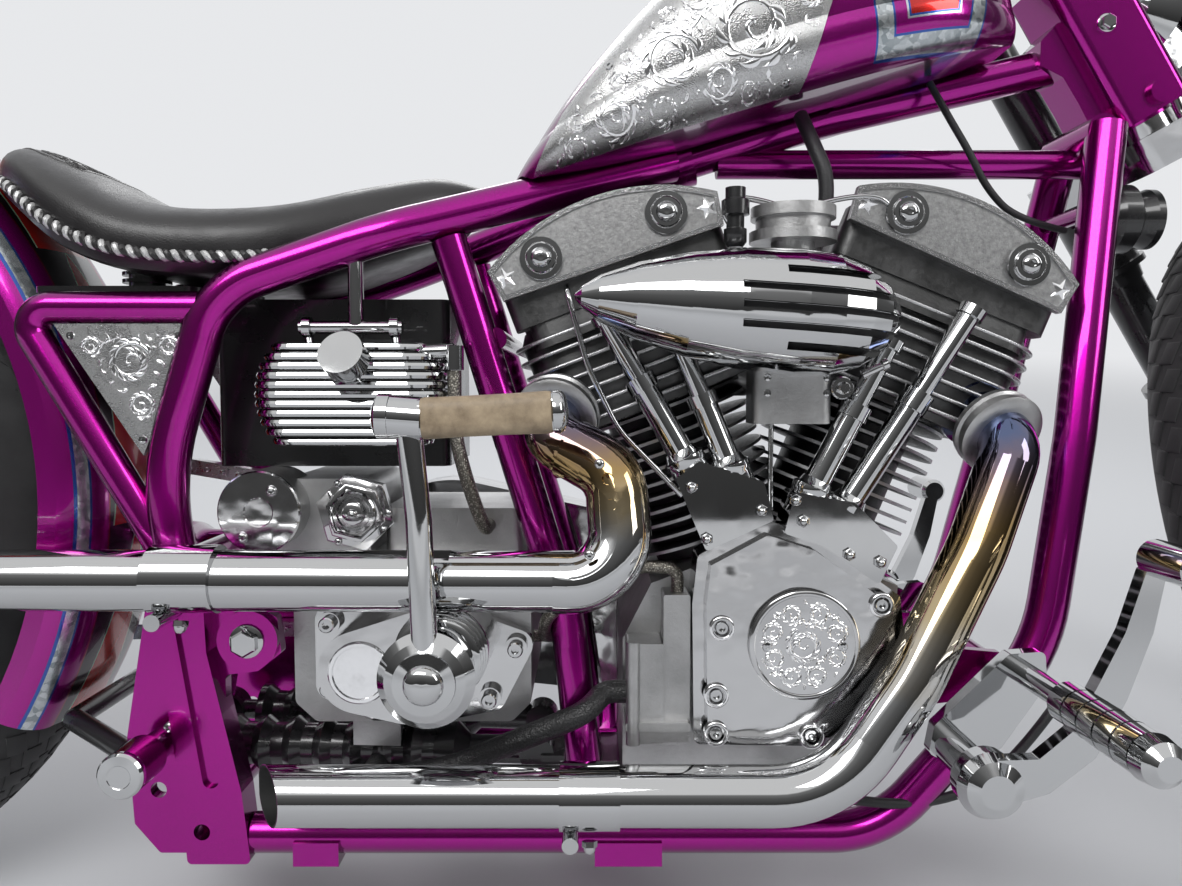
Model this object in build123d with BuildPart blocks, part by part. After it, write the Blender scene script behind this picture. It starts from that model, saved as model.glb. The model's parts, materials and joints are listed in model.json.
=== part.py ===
"""Chopper motorcycle with an open V-twin, parked on its side stand.

Millimetres. The machine is laid out upright: x forward from the crankshaft, y to the rider's left,
z up from the ground. At the end every piece is leaned onto the side stand by the same move, and the
origin goes to the middle of the footprint.
"""

import os
from math import acos, atan, atan2, cos, degrees, pi, radians, sin, sqrt

from build123d import *

os.makedirs("parts", exist_ok=True)

# How it stands
lean_angle = 7.1
parked_turn = 35.0
gap = 0.3
running_gap = 0.08

# Wheels
rear_axle_x = -915.0
rear_tyre_r = 335.0
rear_tyre_half = 65.0
rear_bead_r = 204.0
front_tyre_r = 347.0
front_tyre_half = 45.0
front_bead_r = 268.0
front_axle_x = 628.0
rim_depth = 17.0
rim_flange = 12.0
spoke_r = 2.0
spoke_count = 40
rear_hub_half = 80.0
front_hub_half = 58.0
axle_r = 12.5
front_axle_r = 9.0
rear_disc_r = 145.0
front_disc_r = 146.0
disc_thick = 6.0
disc_windows = 6
disc_holes = 18
disc_hole_r = 4.0
rear_disc_y = -69.0
front_disc_y = -51.0

# Final drive
chain_y = 85.0
chain_half = 7.0
chain_height = 15.0
chain_pitch = 15.875
rear_teeth = 46
gearbox_teeth = 23
output_x = -292.0
output_z = 288.0

# Frame tubes
tube_r = 15.9
thin_tube_r = 12.5
rail_y = 110.0
cradle_y = 103.0
cradle_z = 110.0
neck_rake = 31.0
neck_x = 334.0
neck_z = 701.0
neck_length = 150.0
neck_r = 27.0
stem_r = 12.7
casting_y = 95.0
casting_thick = 25.0
pivot_x = -474.0
pivot_z = 318.0

# Engine
crank_z = 221.0
rear_lean = 20.8
front_lean = 21.9
deck = 118.0
barrel_length = 132.0
barrel_r = 50.0
fin_r = 75.0
fin_count = 11
fin_thick = 2.6
head_height = 76.0
head_fins = 6
head_half_length = 84.0
head_half_width = 74.0
rocker_height = 62.0
case_r = 92.0
case_half = 84.0
primary_near = 98.0
primary_far = 168.0
primary_boss_r = 60.0
timing_face_y = 125.0
points_x = 15.0
points_z = 271.0
points_r = 42.0

# Exhaust
pipe_r = 22.2
pipe_bore = 20.4
front_pipe_y = 162.0
front_pipe_z = 167.0
rear_pipe_y = 165.0
rear_pipe_z = 329.0

# Fork
fork_offset = 54.0
fork_half = 105.0
fork_tube_r = 20.5
slider_r = 28.0
cover_r = 27.0
tree_thick = 30.0
bar_r = 12.7


def tube(points, bend, radius, bore=0.0):
    """Round tube along straight runs joined by arcs."""
    with BuildPart() as run:
        with BuildLine() as path:
            if len(points) > 2:
                FilletPolyline(*points, radius=bend)
            else:
                Line(*points)
        with BuildSketch(Plane(origin=path.line @ 0, z_dir=path.line % 0)):
            Circle(radius)
            if bore:
                Circle(bore, mode=Mode.SUBTRACT)
        sweep()
    return run.part


def rod(start, end, radius, bore=0.0):
    """Straight round bar between two points."""
    begin = Vector(*start)
    reach = Vector(*end) - begin
    with BuildPart() as bar:
        with BuildSketch(Plane(origin=begin, z_dir=reach)):
            Circle(radius)
            if bore:
                Circle(bore, mode=Mode.SUBTRACT)
        extrude(amount=reach.length)
    return bar.part


def turned(origin, direction, stations, bore=0.0):
    """Body of revolution; each station is (distance along the axis, radius)."""
    along = Vector(*direction).normalized()
    across = Plane(origin=origin, z_dir=along).x_dir
    outline = [(bore, stations[0][0])]
    outline += [(radius, distance) for distance, radius in stations]
    outline += [(bore, stations[-1][0])]
    with BuildPart() as body:
        with BuildSketch(Plane(origin=origin, x_dir=across, z_dir=across.cross(along))):
            with BuildLine():
                Polyline(*outline, close=True)
            make_face()
        revolve(axis=Axis(origin, along))
    return body.part


def side_plate(outline, near, far, corner=0.0):
    """Flat plate seen from the side, between two distances to the right of the middle."""
    with BuildPart() as plate:
        with BuildSketch(Plane.XZ.offset(near)):
            with BuildLine():
                Polyline(*outline, close=True)
            make_face()
        extrude(amount=far - near)
        if corner:
            fillet(plate.edges().filter_by(Axis.Y), radius=corner)
    return plate.part


def both_sides(piece):
    """The piece and its mirror image on the left."""
    return [piece, piece.mirror(Plane.XZ)]


def ring(axle, profile, start=0.0, arc=360.0):
    """Outline in (radius, y), closed, turned about a cross axle from an angle above straight ahead."""
    x, z = axle
    heading = Vector(cos(radians(start)), 0, sin(radians(start)))
    with BuildPart() as body:
        with BuildSketch(Plane(origin=(x, 0, z), x_dir=heading, z_dir=heading.cross(Vector(0, 1, 0)))):
            with BuildLine():
                for kind, *points in profile:
                    if kind == "line":
                        Polyline(*points)
                    else:
                        ThreePointArc(*points)
            make_face()
        revolve(axis=Axis((x, 0, z), (0, -1, 0)), revolution_arc=arc)
    return body.part


# Places that other pieces share
rear_axle = (rear_axle_x, rear_tyre_r)
front_axle = (front_axle_x, front_tyre_r)
rake_sin = sin(radians(neck_rake))
rake_cos = cos(radians(neck_rake))
fork_plane = Plane(origin=(neck_x, 0, neck_z), x_dir=(rake_cos, 0, rake_sin), z_dir=(-rake_sin, 0, rake_cos))


def fork_point(ahead, left, up):
    """Point given along the fork: ahead of the steering axis, to the left, and up along it."""
    return fork_plane.from_local_coords(Vector(ahead, left, up))


def cylinder_plane(lean, up):
    """Plane across a cylinder, its x to the front, its z along the bore; up is from the crankshaft."""
    tilt = radians(lean)
    along = Vector(sin(tilt), 0, cos(tilt))
    return Plane(origin=Vector(0, 0, crank_z) + along * up, x_dir=(cos(tilt), 0, -sin(tilt)), z_dir=along)


pieces = {}

# Frame: neck, backbone, lower brace
backbone_bend = (53.0, 704.0)
backbone_end = (-62.0, 668.6)
backbone_front = (285.0, 756.0)
brace_z = 665.0
brace_rear_x = -38.0
brace_front_x = 288.0
gusset_outline = [(236, 744), (256, 734), (270, 712), (281, 692), (270, 664), (292, 682), (316, 700), (268, 800),
                  (236, 764)]
gusset_half = 20.0
neck_box_long = 64.0
neck_box_wide = 68.0
neck_bosses = (16, 128)
neck_top = fork_point(0, 0, neck_length)

with BuildPart() as frame_backbone:
    add(rod(fork_plane.origin, neck_top, neck_r))
    add(tube([(backbone_front[0], 0, backbone_front[1]), (backbone_bend[0], 0, backbone_bend[1]),
              (backbone_end[0], 0, backbone_end[1])], 200, tube_r))
    add(rod((brace_rear_x, 0, brace_z), (brace_front_x, 0, brace_z), thin_tube_r))
    add(side_plate(gusset_outline, -gusset_half, gusset_half))
    with BuildSketch(fork_plane.offset(3)):
        RectangleRounded(neck_box_long, neck_box_wide, 9)
    extrude(amount=neck_length - 6)
    for boss_height in neck_bosses:
        foot = fork_point(6, neck_box_wide / 2 - 1, boss_height)
        for boss in both_sides(rod(foot, foot + Vector(0, 6, 0), 10)):
            add(boss)
    add(rod(fork_point(0, 0, -1), fork_point(0, 0, neck_length + 1), stem_r + running_gap),
        mode=Mode.SUBTRACT)
pieces["frame_backbone"] = frame_backbone

# Frame: seat rails, rear triangles, castings
collar_r = 22.0
collar_length = 34.0
backbone_slope = Vector(backbone_end[0] - backbone_bend[0], 0, backbone_end[1] - backbone_bend[1]).normalized()
collar_front = Vector(backbone_end[0], 0, backbone_end[1])
collar_rear = collar_front + backbone_slope * collar_length
rail_route = [(-80, -14, 662), (-310, -rail_y + 6, 588), (-440, -rail_y, 543),
              (-484, -rail_y, 400), (pivot_x, -rail_y, 330)]
rail_bends = [160, 70, 200]
top_rail_z = 530.0
triangle_route = [(-446, -rail_y, top_rail_z), (-592, -rail_y, top_rail_z), (-486, -rail_y, 345)]
# the inner plate, and the forged bar with its long groove over it
casting_outline = [(-497, 340), (-462, 340), (-430, 306), (-398, 286), (-395, 258), (-414, 243), (-440, 240),
                   (-440, 94), (-496, 94), (-516, 118), (-520, 189), (-502, 296)]
casting_plate = 11.0
forging_outline = [(-489, 342), (-452, 342), (-449, 262), (-424, 150), (-418, 92), (-468, 92), (-472, 150), (-486, 262)]
groove_top = (-468, 290)
groove_foot = (-448, 160)
groove_r = 6.5
groove_depth = 4.5
pivot_boss = (-420, 269)
pivot_boss_r = 24.0
foot_holes = [(-496, 146), (-456, 118)]
foot_hole_r = 6.5
spool_x = -495.0
spool_z = 183.0
spool_r = 17.0
spool_length = 32.0
spool_neck = casting_thick - casting_plate + 9

with BuildPart() as frame_rear:
    add(rod(collar_front, collar_rear, collar_r))
    for rail in both_sides(tube(rail_route, rail_bends, tube_r)):
        add(rail)
    for triangle in both_sides(tube(triangle_route, 16, thin_tube_r)):
        add(triangle)
    for outline, thick in ((casting_outline, casting_plate), (forging_outline, casting_thick)):
        for casting in both_sides(side_plate(outline, casting_y, casting_y + thick, 4)):
            add(casting)
    x, z = pivot_boss
    for boss in both_sides(rod((x, -casting_y, z), (x, -casting_y - casting_plate - 6, z), pivot_boss_r)):
        add(boss)
    with BuildSketch(Plane.XZ.offset(casting_y + casting_thick)):
        with Locations(groove_top, groove_foot):
            Circle(groove_r)
        make_hull()
    groove = extrude(amount=-groove_depth, mode=Mode.PRIVATE)
    for cut in both_sides(groove):
        add(cut, mode=Mode.SUBTRACT)
    for x, z in foot_holes:
        add(rod((x, -casting_y - 40, z), (x, casting_y + 40, z), foot_hole_r), mode=Mode.SUBTRACT)
    for spool in both_sides(turned((spool_x, -casting_y - casting_plate + 1, spool_z), (0, -1, 0),
                                   [(0, 12), (spool_neck, 12), (spool_neck, spool_r),
                                    (spool_neck + spool_length, spool_r)])):
        add(spool)
    add(rod((-540, -rail_y, top_rail_z), (-540, rail_y, top_rail_z), 10))
    add(rod((pivot_x, -casting_y - 2, pivot_z), (pivot_x, casting_y + 2, pivot_z), 8))
    add(rod((-470, -casting_y - 2, 118), (-470, casting_y + 2, 118), 14))
pieces["frame_rear"] = frame_rear

# Frame: cradle rails, downtubes, cross members and engine mounts
cradle_rear_x = -420.0
cradle_route = [(cradle_rear_x, -cradle_y, cradle_z), (84, -cradle_y, cradle_z), (211, -cradle_y + 2, 258),
                (245, -78, 430), (286, -36, 688)]
seat_tube_route = [(-262, -86, 586), (-168, -86, 280), (-150, -100, 122)]
seat_tube_r = 14.4
horn_bar_x = 273.0
horn_z = 617.0
front_bar_x = 196.0
front_bar_z = 230.0
front_plate_y = 56.0
front_plate = [(93, 196), (150, 203), (190, 205), (204, 226), (196, 246), (150, 250), (93, 240)]
rail_lugs = [(-384, -348), (-146, -93)]

# Side stand: its pivot, and the plane that the leg swings in
stand_x = -140.0
stand_y = 138.0
stand_z = 116.0
stand_axis = (0, 0.4722, 0.8815)
stand_plane = Plane(origin=(stand_x, stand_y, stand_z), x_dir=(1, 0, 0), z_dir=stand_axis)
stand_boss_r = 12.0
stand_boss_half = 12.0
stand_ear = 6.0
stand_pin_r = 5.0

with BuildPart() as frame_cradle:
    for rail in both_sides(tube(cradle_route, [90, 150, 300], tube_r)):
        add(rail)
    for x in (60, -170, -330):
        add(rod((x, -cradle_y, cradle_z), (x, cradle_y, cradle_z), thin_tube_r))
    for start, end in ((48, 72), (-160, -110)):
        with BuildSketch(Plane.XY.offset(cradle_z)):
            with Locations(((start + end) / 2, 0)):
                Rectangle(end - start, 120)
        extrude(amount=crank_z - case_r - cradle_z)
    add(rod((282, -40, 684), (282, 40, 684), 14))
    add(rod((horn_bar_x, -46, horn_z), (horn_bar_x, 46, horn_z), 7))
    add(rod((front_bar_x, -cradle_y + 2, front_bar_z), (front_bar_x, cradle_y - 2, front_bar_z), 9))
    for plate in both_sides(side_plate(front_plate, front_plate_y, front_plate_y + 9, 3)):
        add(plate)
    for lug_start, lug_end in rail_lugs:
        outline = [(lug_start, cradle_z - tube_r - 3), (lug_end, cradle_z - tube_r - 3),
                   (lug_end, cradle_z), (lug_start, cradle_z)]
        for lug in both_sides(side_plate(outline, cradle_y - 8, cradle_y + tube_r + 3)):
            add(lug)
    add(frame_backbone.part, mode=Mode.SUBTRACT)
    with BuildSketch(stand_plane.offset(-stand_boss_half - gap - stand_ear)):
        with Locations((0, -16)):
            RectangleRounded(36, 56, 8)
    extrude(amount=2 * (stand_boss_half + gap + stand_ear))
    with BuildSketch(stand_plane.offset(-stand_boss_half - gap)):
        with Locations((0, -14 + 40)):
            Rectangle(60, 80)
    extrude(amount=2 * (stand_boss_half + gap), mode=Mode.SUBTRACT)
    with BuildSketch(stand_plane.offset(-stand_boss_half - gap - stand_ear)):
        Circle(stand_pin_r)
    extrude(amount=2 * (stand_boss_half + gap + stand_ear))
    for post in both_sides(tube(seat_tube_route, 200, seat_tube_r)):
        add(post)
    add(rod((-225, -90, 507), (-225, 90, 507), 9))
    add(frame_rear.part, mode=Mode.SUBTRACT)
pieces["frame_cradle"] = frame_cradle

# Swingarm with its lever, axle plates
arm_y = 107.0
arm_r = 13.0
arm_route = [(pivot_x, -52, pivot_z), (-520, -60, pivot_z), (-552, -arm_y, pivot_z + 1),
             (rear_axle_x + 20, -arm_y, rear_tyre_r - 3)]
axle_plate = [(rear_axle_x - 37, rear_tyre_r - 23), (rear_axle_x + 35, rear_tyre_r - 27),
              (rear_axle_x + 35, rear_tyre_r + 19), (rear_axle_x - 29, rear_tyre_r + 27)]
lever_x = -498.0
lever_z = 160.0

with BuildPart() as swingarm:
    pivot_half = rail_y - tube_r - gap
    add(rod((pivot_x, -pivot_half, pivot_z), (pivot_x, pivot_half, pivot_z), 20, 8 + gap))
    for arm in both_sides(tube(arm_route, 26, arm_r)):
        add(arm)
    for plate in both_sides(side_plate(axle_plate, 96, 118, 6)):
        add(plate)
    add(side_plate([(-490, 310), (-458, 310), (-486, 148), (-510, 148)], -10, 10))
    add(rod((lever_x, -62, lever_z), (lever_x, 62, lever_z), 8))
    for side in (-1, 1):
        add(rod((rear_axle_x, side * 90, rear_tyre_r), (rear_axle_x, side * 125, rear_tyre_r), axle_r + gap),
            mode=Mode.SUBTRACT)
    add(rod((pivot_x, -casting_y, pivot_z), (pivot_x, casting_y, pivot_z), 8 + gap), mode=Mode.SUBTRACT)
pieces["swingarm"] = swingarm

# Shock absorbers below the gearbox
shock_y = 40.0
shock_r = 24.0
shock_front_x = -196.0
shock_front_z = 152.0
shock_turns = 7

with BuildPart() as shocks:
    start = Vector(lever_x, -shock_y, lever_z)
    reach = Vector(shock_front_x, -shock_y, shock_front_z) - start
    stations = [(16, 9), (34, 9), (34, shock_r)]
    for turn in range(shock_turns):
        stations += [(40 + turn * 26, shock_r), (48 + turn * 26, shock_r - 6), (58 + turn * 26, shock_r - 6)]
    stations += [(232, shock_r), (244, 12), (reach.length - 12, 12)]
    damper = turned(start, reach, stations)
    for body in both_sides(damper):
        add(body)
    for side in (-1, 1):
        add(rod((lever_x, side * 28, lever_z), (lever_x, side * 52, lever_z), 18, 8 + gap))
        add(rod((shock_front_x, side * 28, shock_front_z), (shock_front_x, side * 52, shock_front_z), 15))
    for side in (-1, 1):
        add(rod((lever_x, side * 20, lever_z), (lever_x, side * 60, lever_z), 8 + gap), mode=Mode.SUBTRACT)
    with BuildSketch(Plane.XY.offset(cradle_z + thin_tube_r + gap)):
        with Locations((shock_front_x + 14, 0)):
            Rectangle(20, 110)
    extrude(amount=30)
pieces["shocks"] = shocks

# Rear wheel
def make_tyre(axle, bead, outer, half, rim_half, shoulder_r, shoulder_y):
    """Tyre with a rounded tread and bulged side walls, closed inside by the rim."""
    flange_top = bead + rim_flange + 1
    widest = bead + 0.5 * (outer - bead)
    profile = [
        ("line", (flange_top, rim_half), (bead, rim_half), (bead, -rim_half), (flange_top, -rim_half)),
        ("arc", (flange_top, -rim_half), (widest, -half), (shoulder_r, -shoulder_y)),
        ("arc", (shoulder_r, -shoulder_y), (outer, 0), (shoulder_r, shoulder_y)),
        ("arc", (shoulder_r, shoulder_y), (widest, half), (flange_top, rim_half)),
    ]
    return ring(axle, profile)


def make_rim(axle, bead, rim_half, hub_half, hub_r, flange_r, flange_y, bore, count):
    """Rim, hub and laced spokes in one piece."""
    x, z = axle
    seat = bead - gap
    lip = bead + rim_flange
    inner = seat - rim_depth
    wall = rim_half + gap
    rim = ring(axle, [("line", (seat, wall), (lip, wall), (lip, wall + 3), (seat - 4, wall + 3),
                       (inner, 12), (inner, -12), (seat - 4, -wall - 3), (lip, -wall - 3), (lip, -wall),
                       (seat, -wall), (seat, wall))])
    hub = turned((x, -hub_half, z), (0, 1, 0),
                 [(0, bore + 9), (hub_half - flange_y - 4, bore + 9), (hub_half - flange_y - 4, flange_r),
                  (hub_half - flange_y + 2, flange_r), (hub_half - flange_y + 8, hub_r),
                  (hub_half + flange_y - 8, hub_r), (hub_half + flange_y - 2, flange_r),
                  (hub_half + flange_y + 4, flange_r), (hub_half + flange_y + 4, bore + 9),
                  (2 * hub_half, bore + 9)], bore)
    spokes = []
    for index in range(count):
        side = 1 if index % 2 else -1
        slant = 1 if (index // 2) % 2 else -1
        foot = 2 * pi * index / count
        tip = foot + slant * radians(34)
        hole = (x + (flange_r - 6) * cos(foot), side * (flange_y + 1), z + (flange_r - 6) * sin(foot))
        nipple = (x + (inner + 4) * cos(tip), side * 7, z + (inner + 4) * sin(tip))
        spokes.append(rod(hole, nipple, spoke_r))
    return rim, hub, spokes


rear_rim_half = 46.0
front_rim_half = 27.0

with BuildPart() as rear_tyre:
    add(make_tyre(rear_axle, rear_bead_r, rear_tyre_r, rear_tyre_half, rear_rim_half, 315, 50))
pieces["rear_tyre"] = rear_tyre

rear_rim_ring, rear_hub, rear_spokes = make_rim(rear_axle, rear_bead_r, rear_rim_half, rear_hub_half, 34, 56, 38,
                                                axle_r + running_gap, spoke_count)
with BuildPart() as rear_rim:
    add(rear_rim_ring)
    add(rear_hub)
    add(rear_spokes)
pieces["rear_rim"] = rear_rim

with BuildPart() as front_tyre:
    add(make_tyre(front_axle, front_bead_r, front_tyre_r, front_tyre_half, front_rim_half, 332, 34))
pieces["front_tyre"] = front_tyre

front_rim_ring, front_hub, front_spokes = make_rim(front_axle, front_bead_r, front_rim_half, front_hub_half, 22,
                                                   40, 26, front_axle_r + running_gap, spoke_count)
with BuildPart() as front_rim:
    add(front_rim_ring)
    add(front_hub)
    add(front_spokes)
pieces["front_rim"] = front_rim


def make_disc(axle, y, radius, inner):
    """Brake disc with its carrier, seated on the hub."""
    x, z = axle
    disc = turned((x, y - disc_thick / 2, z), (0, 1, 0), [(0, radius), (disc_thick, radius)], inner)
    with BuildPart() as rotor:
        add(disc)
        with BuildSketch(Plane.XZ.offset(-y - disc_thick)):
            with Locations((x, z)):
                with PolarLocations(0.55 * radius, disc_windows):
                    Circle(0.17 * radius)
                for ring_r, phase in ((radius - 13, 0), (radius - 27, 180 / disc_holes)):
                    with PolarLocations(ring_r, disc_holes, start_angle=phase):
                        Circle(disc_hole_r)
        extrude(amount=2 * disc_thick, mode=Mode.SUBTRACT)
    return rotor.part


rear_boss_r = axle_r + running_gap + 9 + gap
front_boss_r = front_axle_r + running_gap + 9 + gap

with BuildPart() as brake_disc_rear:
    add(make_disc(rear_axle, rear_disc_y, rear_disc_r, rear_boss_r))
pieces["rear_disc"] = brake_disc_rear

with BuildPart() as brake_disc_front:
    add(make_disc(front_axle, front_disc_y, front_disc_r, front_boss_r))
pieces["front_disc"] = brake_disc_front

# Final drive: sprocket on the wheel, chain to the gearbox
rear_pitch_r = chain_pitch / (2 * sin(pi / rear_teeth))
output_pitch_r = chain_pitch / (2 * sin(pi / gearbox_teeth))
sprocket_thick = 6.0

with BuildPart() as rear_sprocket:
    add(turned((rear_axle_x, chain_y - sprocket_thick / 2, rear_tyre_r), (0, 1, 0),
               [(0, rear_pitch_r - chain_height / 2 - 1), (sprocket_thick, rear_pitch_r - chain_height / 2 - 1)], 30))
    add(turned((rear_axle_x, 46, rear_tyre_r), (0, 1, 0),
               [(0, 48), (chain_y + sprocket_thick / 2 - 46, 48)], rear_boss_r))
pieces["rear_sprocket"] = rear_sprocket


def loop_face(grow):
    """Outline of the chain loop, grown by a distance from its pitch line."""
    big = rear_pitch_r + grow
    small = output_pitch_r + grow
    far = Vector(rear_axle_x, rear_tyre_r)
    near = Vector(output_x, output_z)
    span = near - far
    slope = acos((big - small) / span.length)
    heading = atan2(span.Y, span.X)
    ends = []
    for centre, radius in ((far, big), (near, small)):
        for angle in (heading + slope, heading - slope):
            ends.append((centre.X + radius * cos(angle), centre.Y + radius * sin(angle)))
    far_back = (far.X - big * cos(heading), far.Y - big * sin(heading))
    near_front = (near.X + small * cos(heading), near.Y + small * sin(heading))
    with BuildSketch() as loop:
        with BuildLine():
            ThreePointArc(ends[0], far_back, ends[1])
            Line(ends[1], ends[3])
            ThreePointArc(ends[3], near_front, ends[2])
            Line(ends[2], ends[0])
        make_face()
    return loop.sketch


with BuildPart() as drive_chain:
    with BuildSketch(Plane.XZ.offset(-chain_y - chain_half)):
        add(loop_face(chain_height / 2))
        add(loop_face(-chain_height / 2), mode=Mode.SUBTRACT)
    extrude(amount=2 * chain_half)
pieces["drive_chain"] = drive_chain

# Rear axle with its nuts, spacers and brake caliper
with BuildPart() as rear_axle_set:
    x, z = rear_axle
    add(rod((x, -134, z), (x, 134, z), axle_r))
    for side in (-1, 1):
        add(rod((x, side * (rear_hub_half + gap), z), (x, side * (96 - gap), z), 19))
        with BuildSketch(Plane(origin=(x, side * (118 + gap), z), z_dir=(0, side, 0))):
            RegularPolygon(19, 6)
        extrude(amount=13)
    caliper_x = x + 118
    caliper_z = z + 62
    with BuildSketch(Plane.XZ.offset(50)):
        with Locations(Location((caliper_x, caliper_z), 28)):
            RectangleRounded(54, 96, 14)
    extrude(amount=42)
    with BuildSketch(Plane.XZ.offset(-rear_disc_y - disc_thick / 2 - 5)):
        with Locations((x, z)):
            Circle(rear_disc_r + 5)
    extrude(amount=disc_thick + 10, mode=Mode.SUBTRACT)
    add(rod((x, -84, z), (x, -96 + gap, z), axle_r + 6))
    with BuildSketch(Plane.XZ.offset(84)):
        with BuildLine():
            Polyline((x + 4, z + 18), (x - 4, z - 18), (x + 110, z + 16), (x + 100, z + 80), close=True)
        make_face()
    extrude(amount=9)
pieces["rear_axle"] = rear_axle_set

# Rear fender, its brackets, and the tail lamp with its plate holder
fender_x = rear_axle_x - 43
fender_z = rear_tyre_r + 44
fender_r = rear_tyre_r + 65
fender_skirt = 45.0
fender_lip_r = fender_r - fender_skirt
fender_half = 76.0
fender_wall = 3.0
fender_start = -31.0
fender_end = 168.0

with BuildPart() as rear_fender:
    w = fender_half
    t = fender_wall
    r = fender_r
    add(ring((fender_x, fender_z), [
        ("line", (fender_lip_r, -w), (r - 30, -w)),
        ("arc", (r - 30, -w), (r - 12, -w + 11), (r - 3, -w + 34)),
        ("arc", (r - 3, -w + 34), (r, 0), (r - 3, w - 34)),
        ("arc", (r - 3, w - 34), (r - 12, w - 11), (r - 30, w)),
        ("line", (r - 30, w), (fender_lip_r, w), (fender_lip_r, w - t), (r - 30, w - t)),
        ("arc", (r - 30, w - t), (r - 14, w - t - 9), (r - 6, w - 34)),
        ("arc", (r - 6, w - 34), (r - t, 0), (r - 6, -w + 34)),
        ("arc", (r - 6, -w + 34), (r - 14, -w + t + 9), (r - 30, -w + t)),
        ("line", (r - 30, -w + t), (fender_lip_r, -w + t), (fender_lip_r, -w)),
    ], fender_start, fender_end - fender_start))
pieces["rear_fender"] = rear_fender

with BuildPart() as fender_brackets:
    add(side_plate([(-600, 536), (-546, 536), (-546, 524), (-586, 524), (-600, 505)], -30, 30))
    for stay in both_sides(rod((-519, -108, 178), (-590, -58, 186), 9)):
        add(stay)
    add(rod((-590, -58, 186), (-590, 58, 186), 9))
    add(rear_fender.part, mode=Mode.SUBTRACT)
    add(frame_rear.part, mode=Mode.SUBTRACT)
pieces["fender_brackets"] = fender_brackets

lamp_angle = 140.0

with BuildPart() as tail_lamp:
    a = radians(lamp_angle)
    base = Vector(fender_x + (fender_r + gap) * cos(a), 0, fender_z + (fender_r + gap) * sin(a))
    out = Vector(cos(a), 0, sin(a))
    add(turned(base, out, [(0, 18), (14, 18), (14, 12), (26, 12)]))
    add(turned(base + out * 26 + Vector(18, 0, 0), (-1, 0, 0), [(0, 14), (6, 26), (30, 32), (44, 32), (48, 26)]))
pieces["tail_lamp"] = tail_lamp

# Number plate holder, with two bolt holes
plate_x = fender_x - fender_r - 4
plate_z = fender_z + 161
plate_low = plate_z - 58
plate_high = plate_z + 32
plate_half = 89.0
plate_bolt_spacing = 146.0
plate_hole_r = 3.2
plate_holder_thick = 3.0

with BuildPart() as plate_holder:
    with BuildSketch(Plane(origin=(plate_x, 0, (plate_low + plate_high) / 2), x_dir=(0, -1, 0), z_dir=(-1, 0, 0))):
        RectangleRounded(2 * plate_half, plate_high - plate_low, 8)
    extrude(amount=plate_holder_thick)
    for side in (-1, 1):
        add(rod((plate_x, side * 34, plate_z - 10), (plate_x + 70, side * 34, plate_z - 10), 7))
        add(rod((plate_x - 10, side * plate_bolt_spacing / 2, plate_z),
                (plate_x + 10, side * plate_bolt_spacing / 2, plate_z), plate_hole_r), mode=Mode.SUBTRACT)
    crown = fender_r - 0.9
    add(ring((fender_x, fender_z), [("line", (1, -80), (crown, -80), (crown, 80), (1, 80), (1, -80))]),
        mode=Mode.SUBTRACT)
pieces["plate_holder"] = plate_holder

# Fuel tank over the backbone
# columns: foot x, foot z, lean of the section from upright, height, half width
tank_sections = [
    (-214, 634, 34, 168, 62),
    (-186, 638, 31, 196, 100),
    (-60, 674, 18, 208, 124),
    (90, 716, 4, 172, 122),
    (196, 748, -14, 96, 66),
]
tunnel_r = 21.0


def tank_section(x, z, lean):
    """Plane across the tank, leaned forward from upright, its y up the section."""
    tilt = radians(lean)
    return Plane(origin=(x, 0, z), x_dir=(0, 1, 0), z_dir=(cos(tilt), 0, -sin(tilt)))


with BuildPart() as fuel_tank:
    for x, z, lean, top, wide in tank_sections:
        with BuildSketch(tank_section(x, z, lean)):
            with BuildLine():
                Line((-0.80 * wide, 0), (0.80 * wide, 0))
                ThreePointArc((0.80 * wide, 0), (0.96 * wide, 0.07 * top), (wide, 0.24 * top))
                ThreePointArc((wide, 0.24 * top), (0.80 * wide, 0.74 * top), (0, top))
                ThreePointArc((0, top), (-0.80 * wide, 0.74 * top), (-wide, 0.24 * top))
                ThreePointArc((-wide, 0.24 * top), (-0.96 * wide, 0.07 * top), (-0.80 * wide, 0))
            make_face()
    loft()
    add(rod((backbone_front[0] + 40, 0, backbone_front[1] + 10), (backbone_bend[0], 0, backbone_bend[1]),
            tunnel_r), mode=Mode.SUBTRACT)
    add(rod((backbone_bend[0] + 6, 0, backbone_bend[1] + 2), (-120, 0, 650.8), tunnel_r + 6), mode=Mode.SUBTRACT)
    for rail in both_sides(tube(rail_route, rail_bends, tube_r + 2)):
        add(rail, mode=Mode.SUBTRACT)
pieces["fuel_tank"] = fuel_tank

# Filler cap
cap_foot = Vector(6, 0, 866)
cap_lean = 0.12
cap_r = 28.0
cap_height = 34.0

with BuildPart() as fuel_cap:
    add(turned(cap_foot, (cap_lean, 0, 1), [(0, cap_r), (cap_height - 6, cap_r), (cap_height, cap_r - 8)]))
    add(fuel_tank.part, mode=Mode.SUBTRACT)
pieces["fuel_cap"] = fuel_cap

# Engraved panels that follow the tank's sides
tank_panel = [(-196, 634), (-188, 622), (-176, 622), (8, 684), (40, 790), (-78, 790), (-172, 682)]
tank_panel_thick = 3.0

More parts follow.
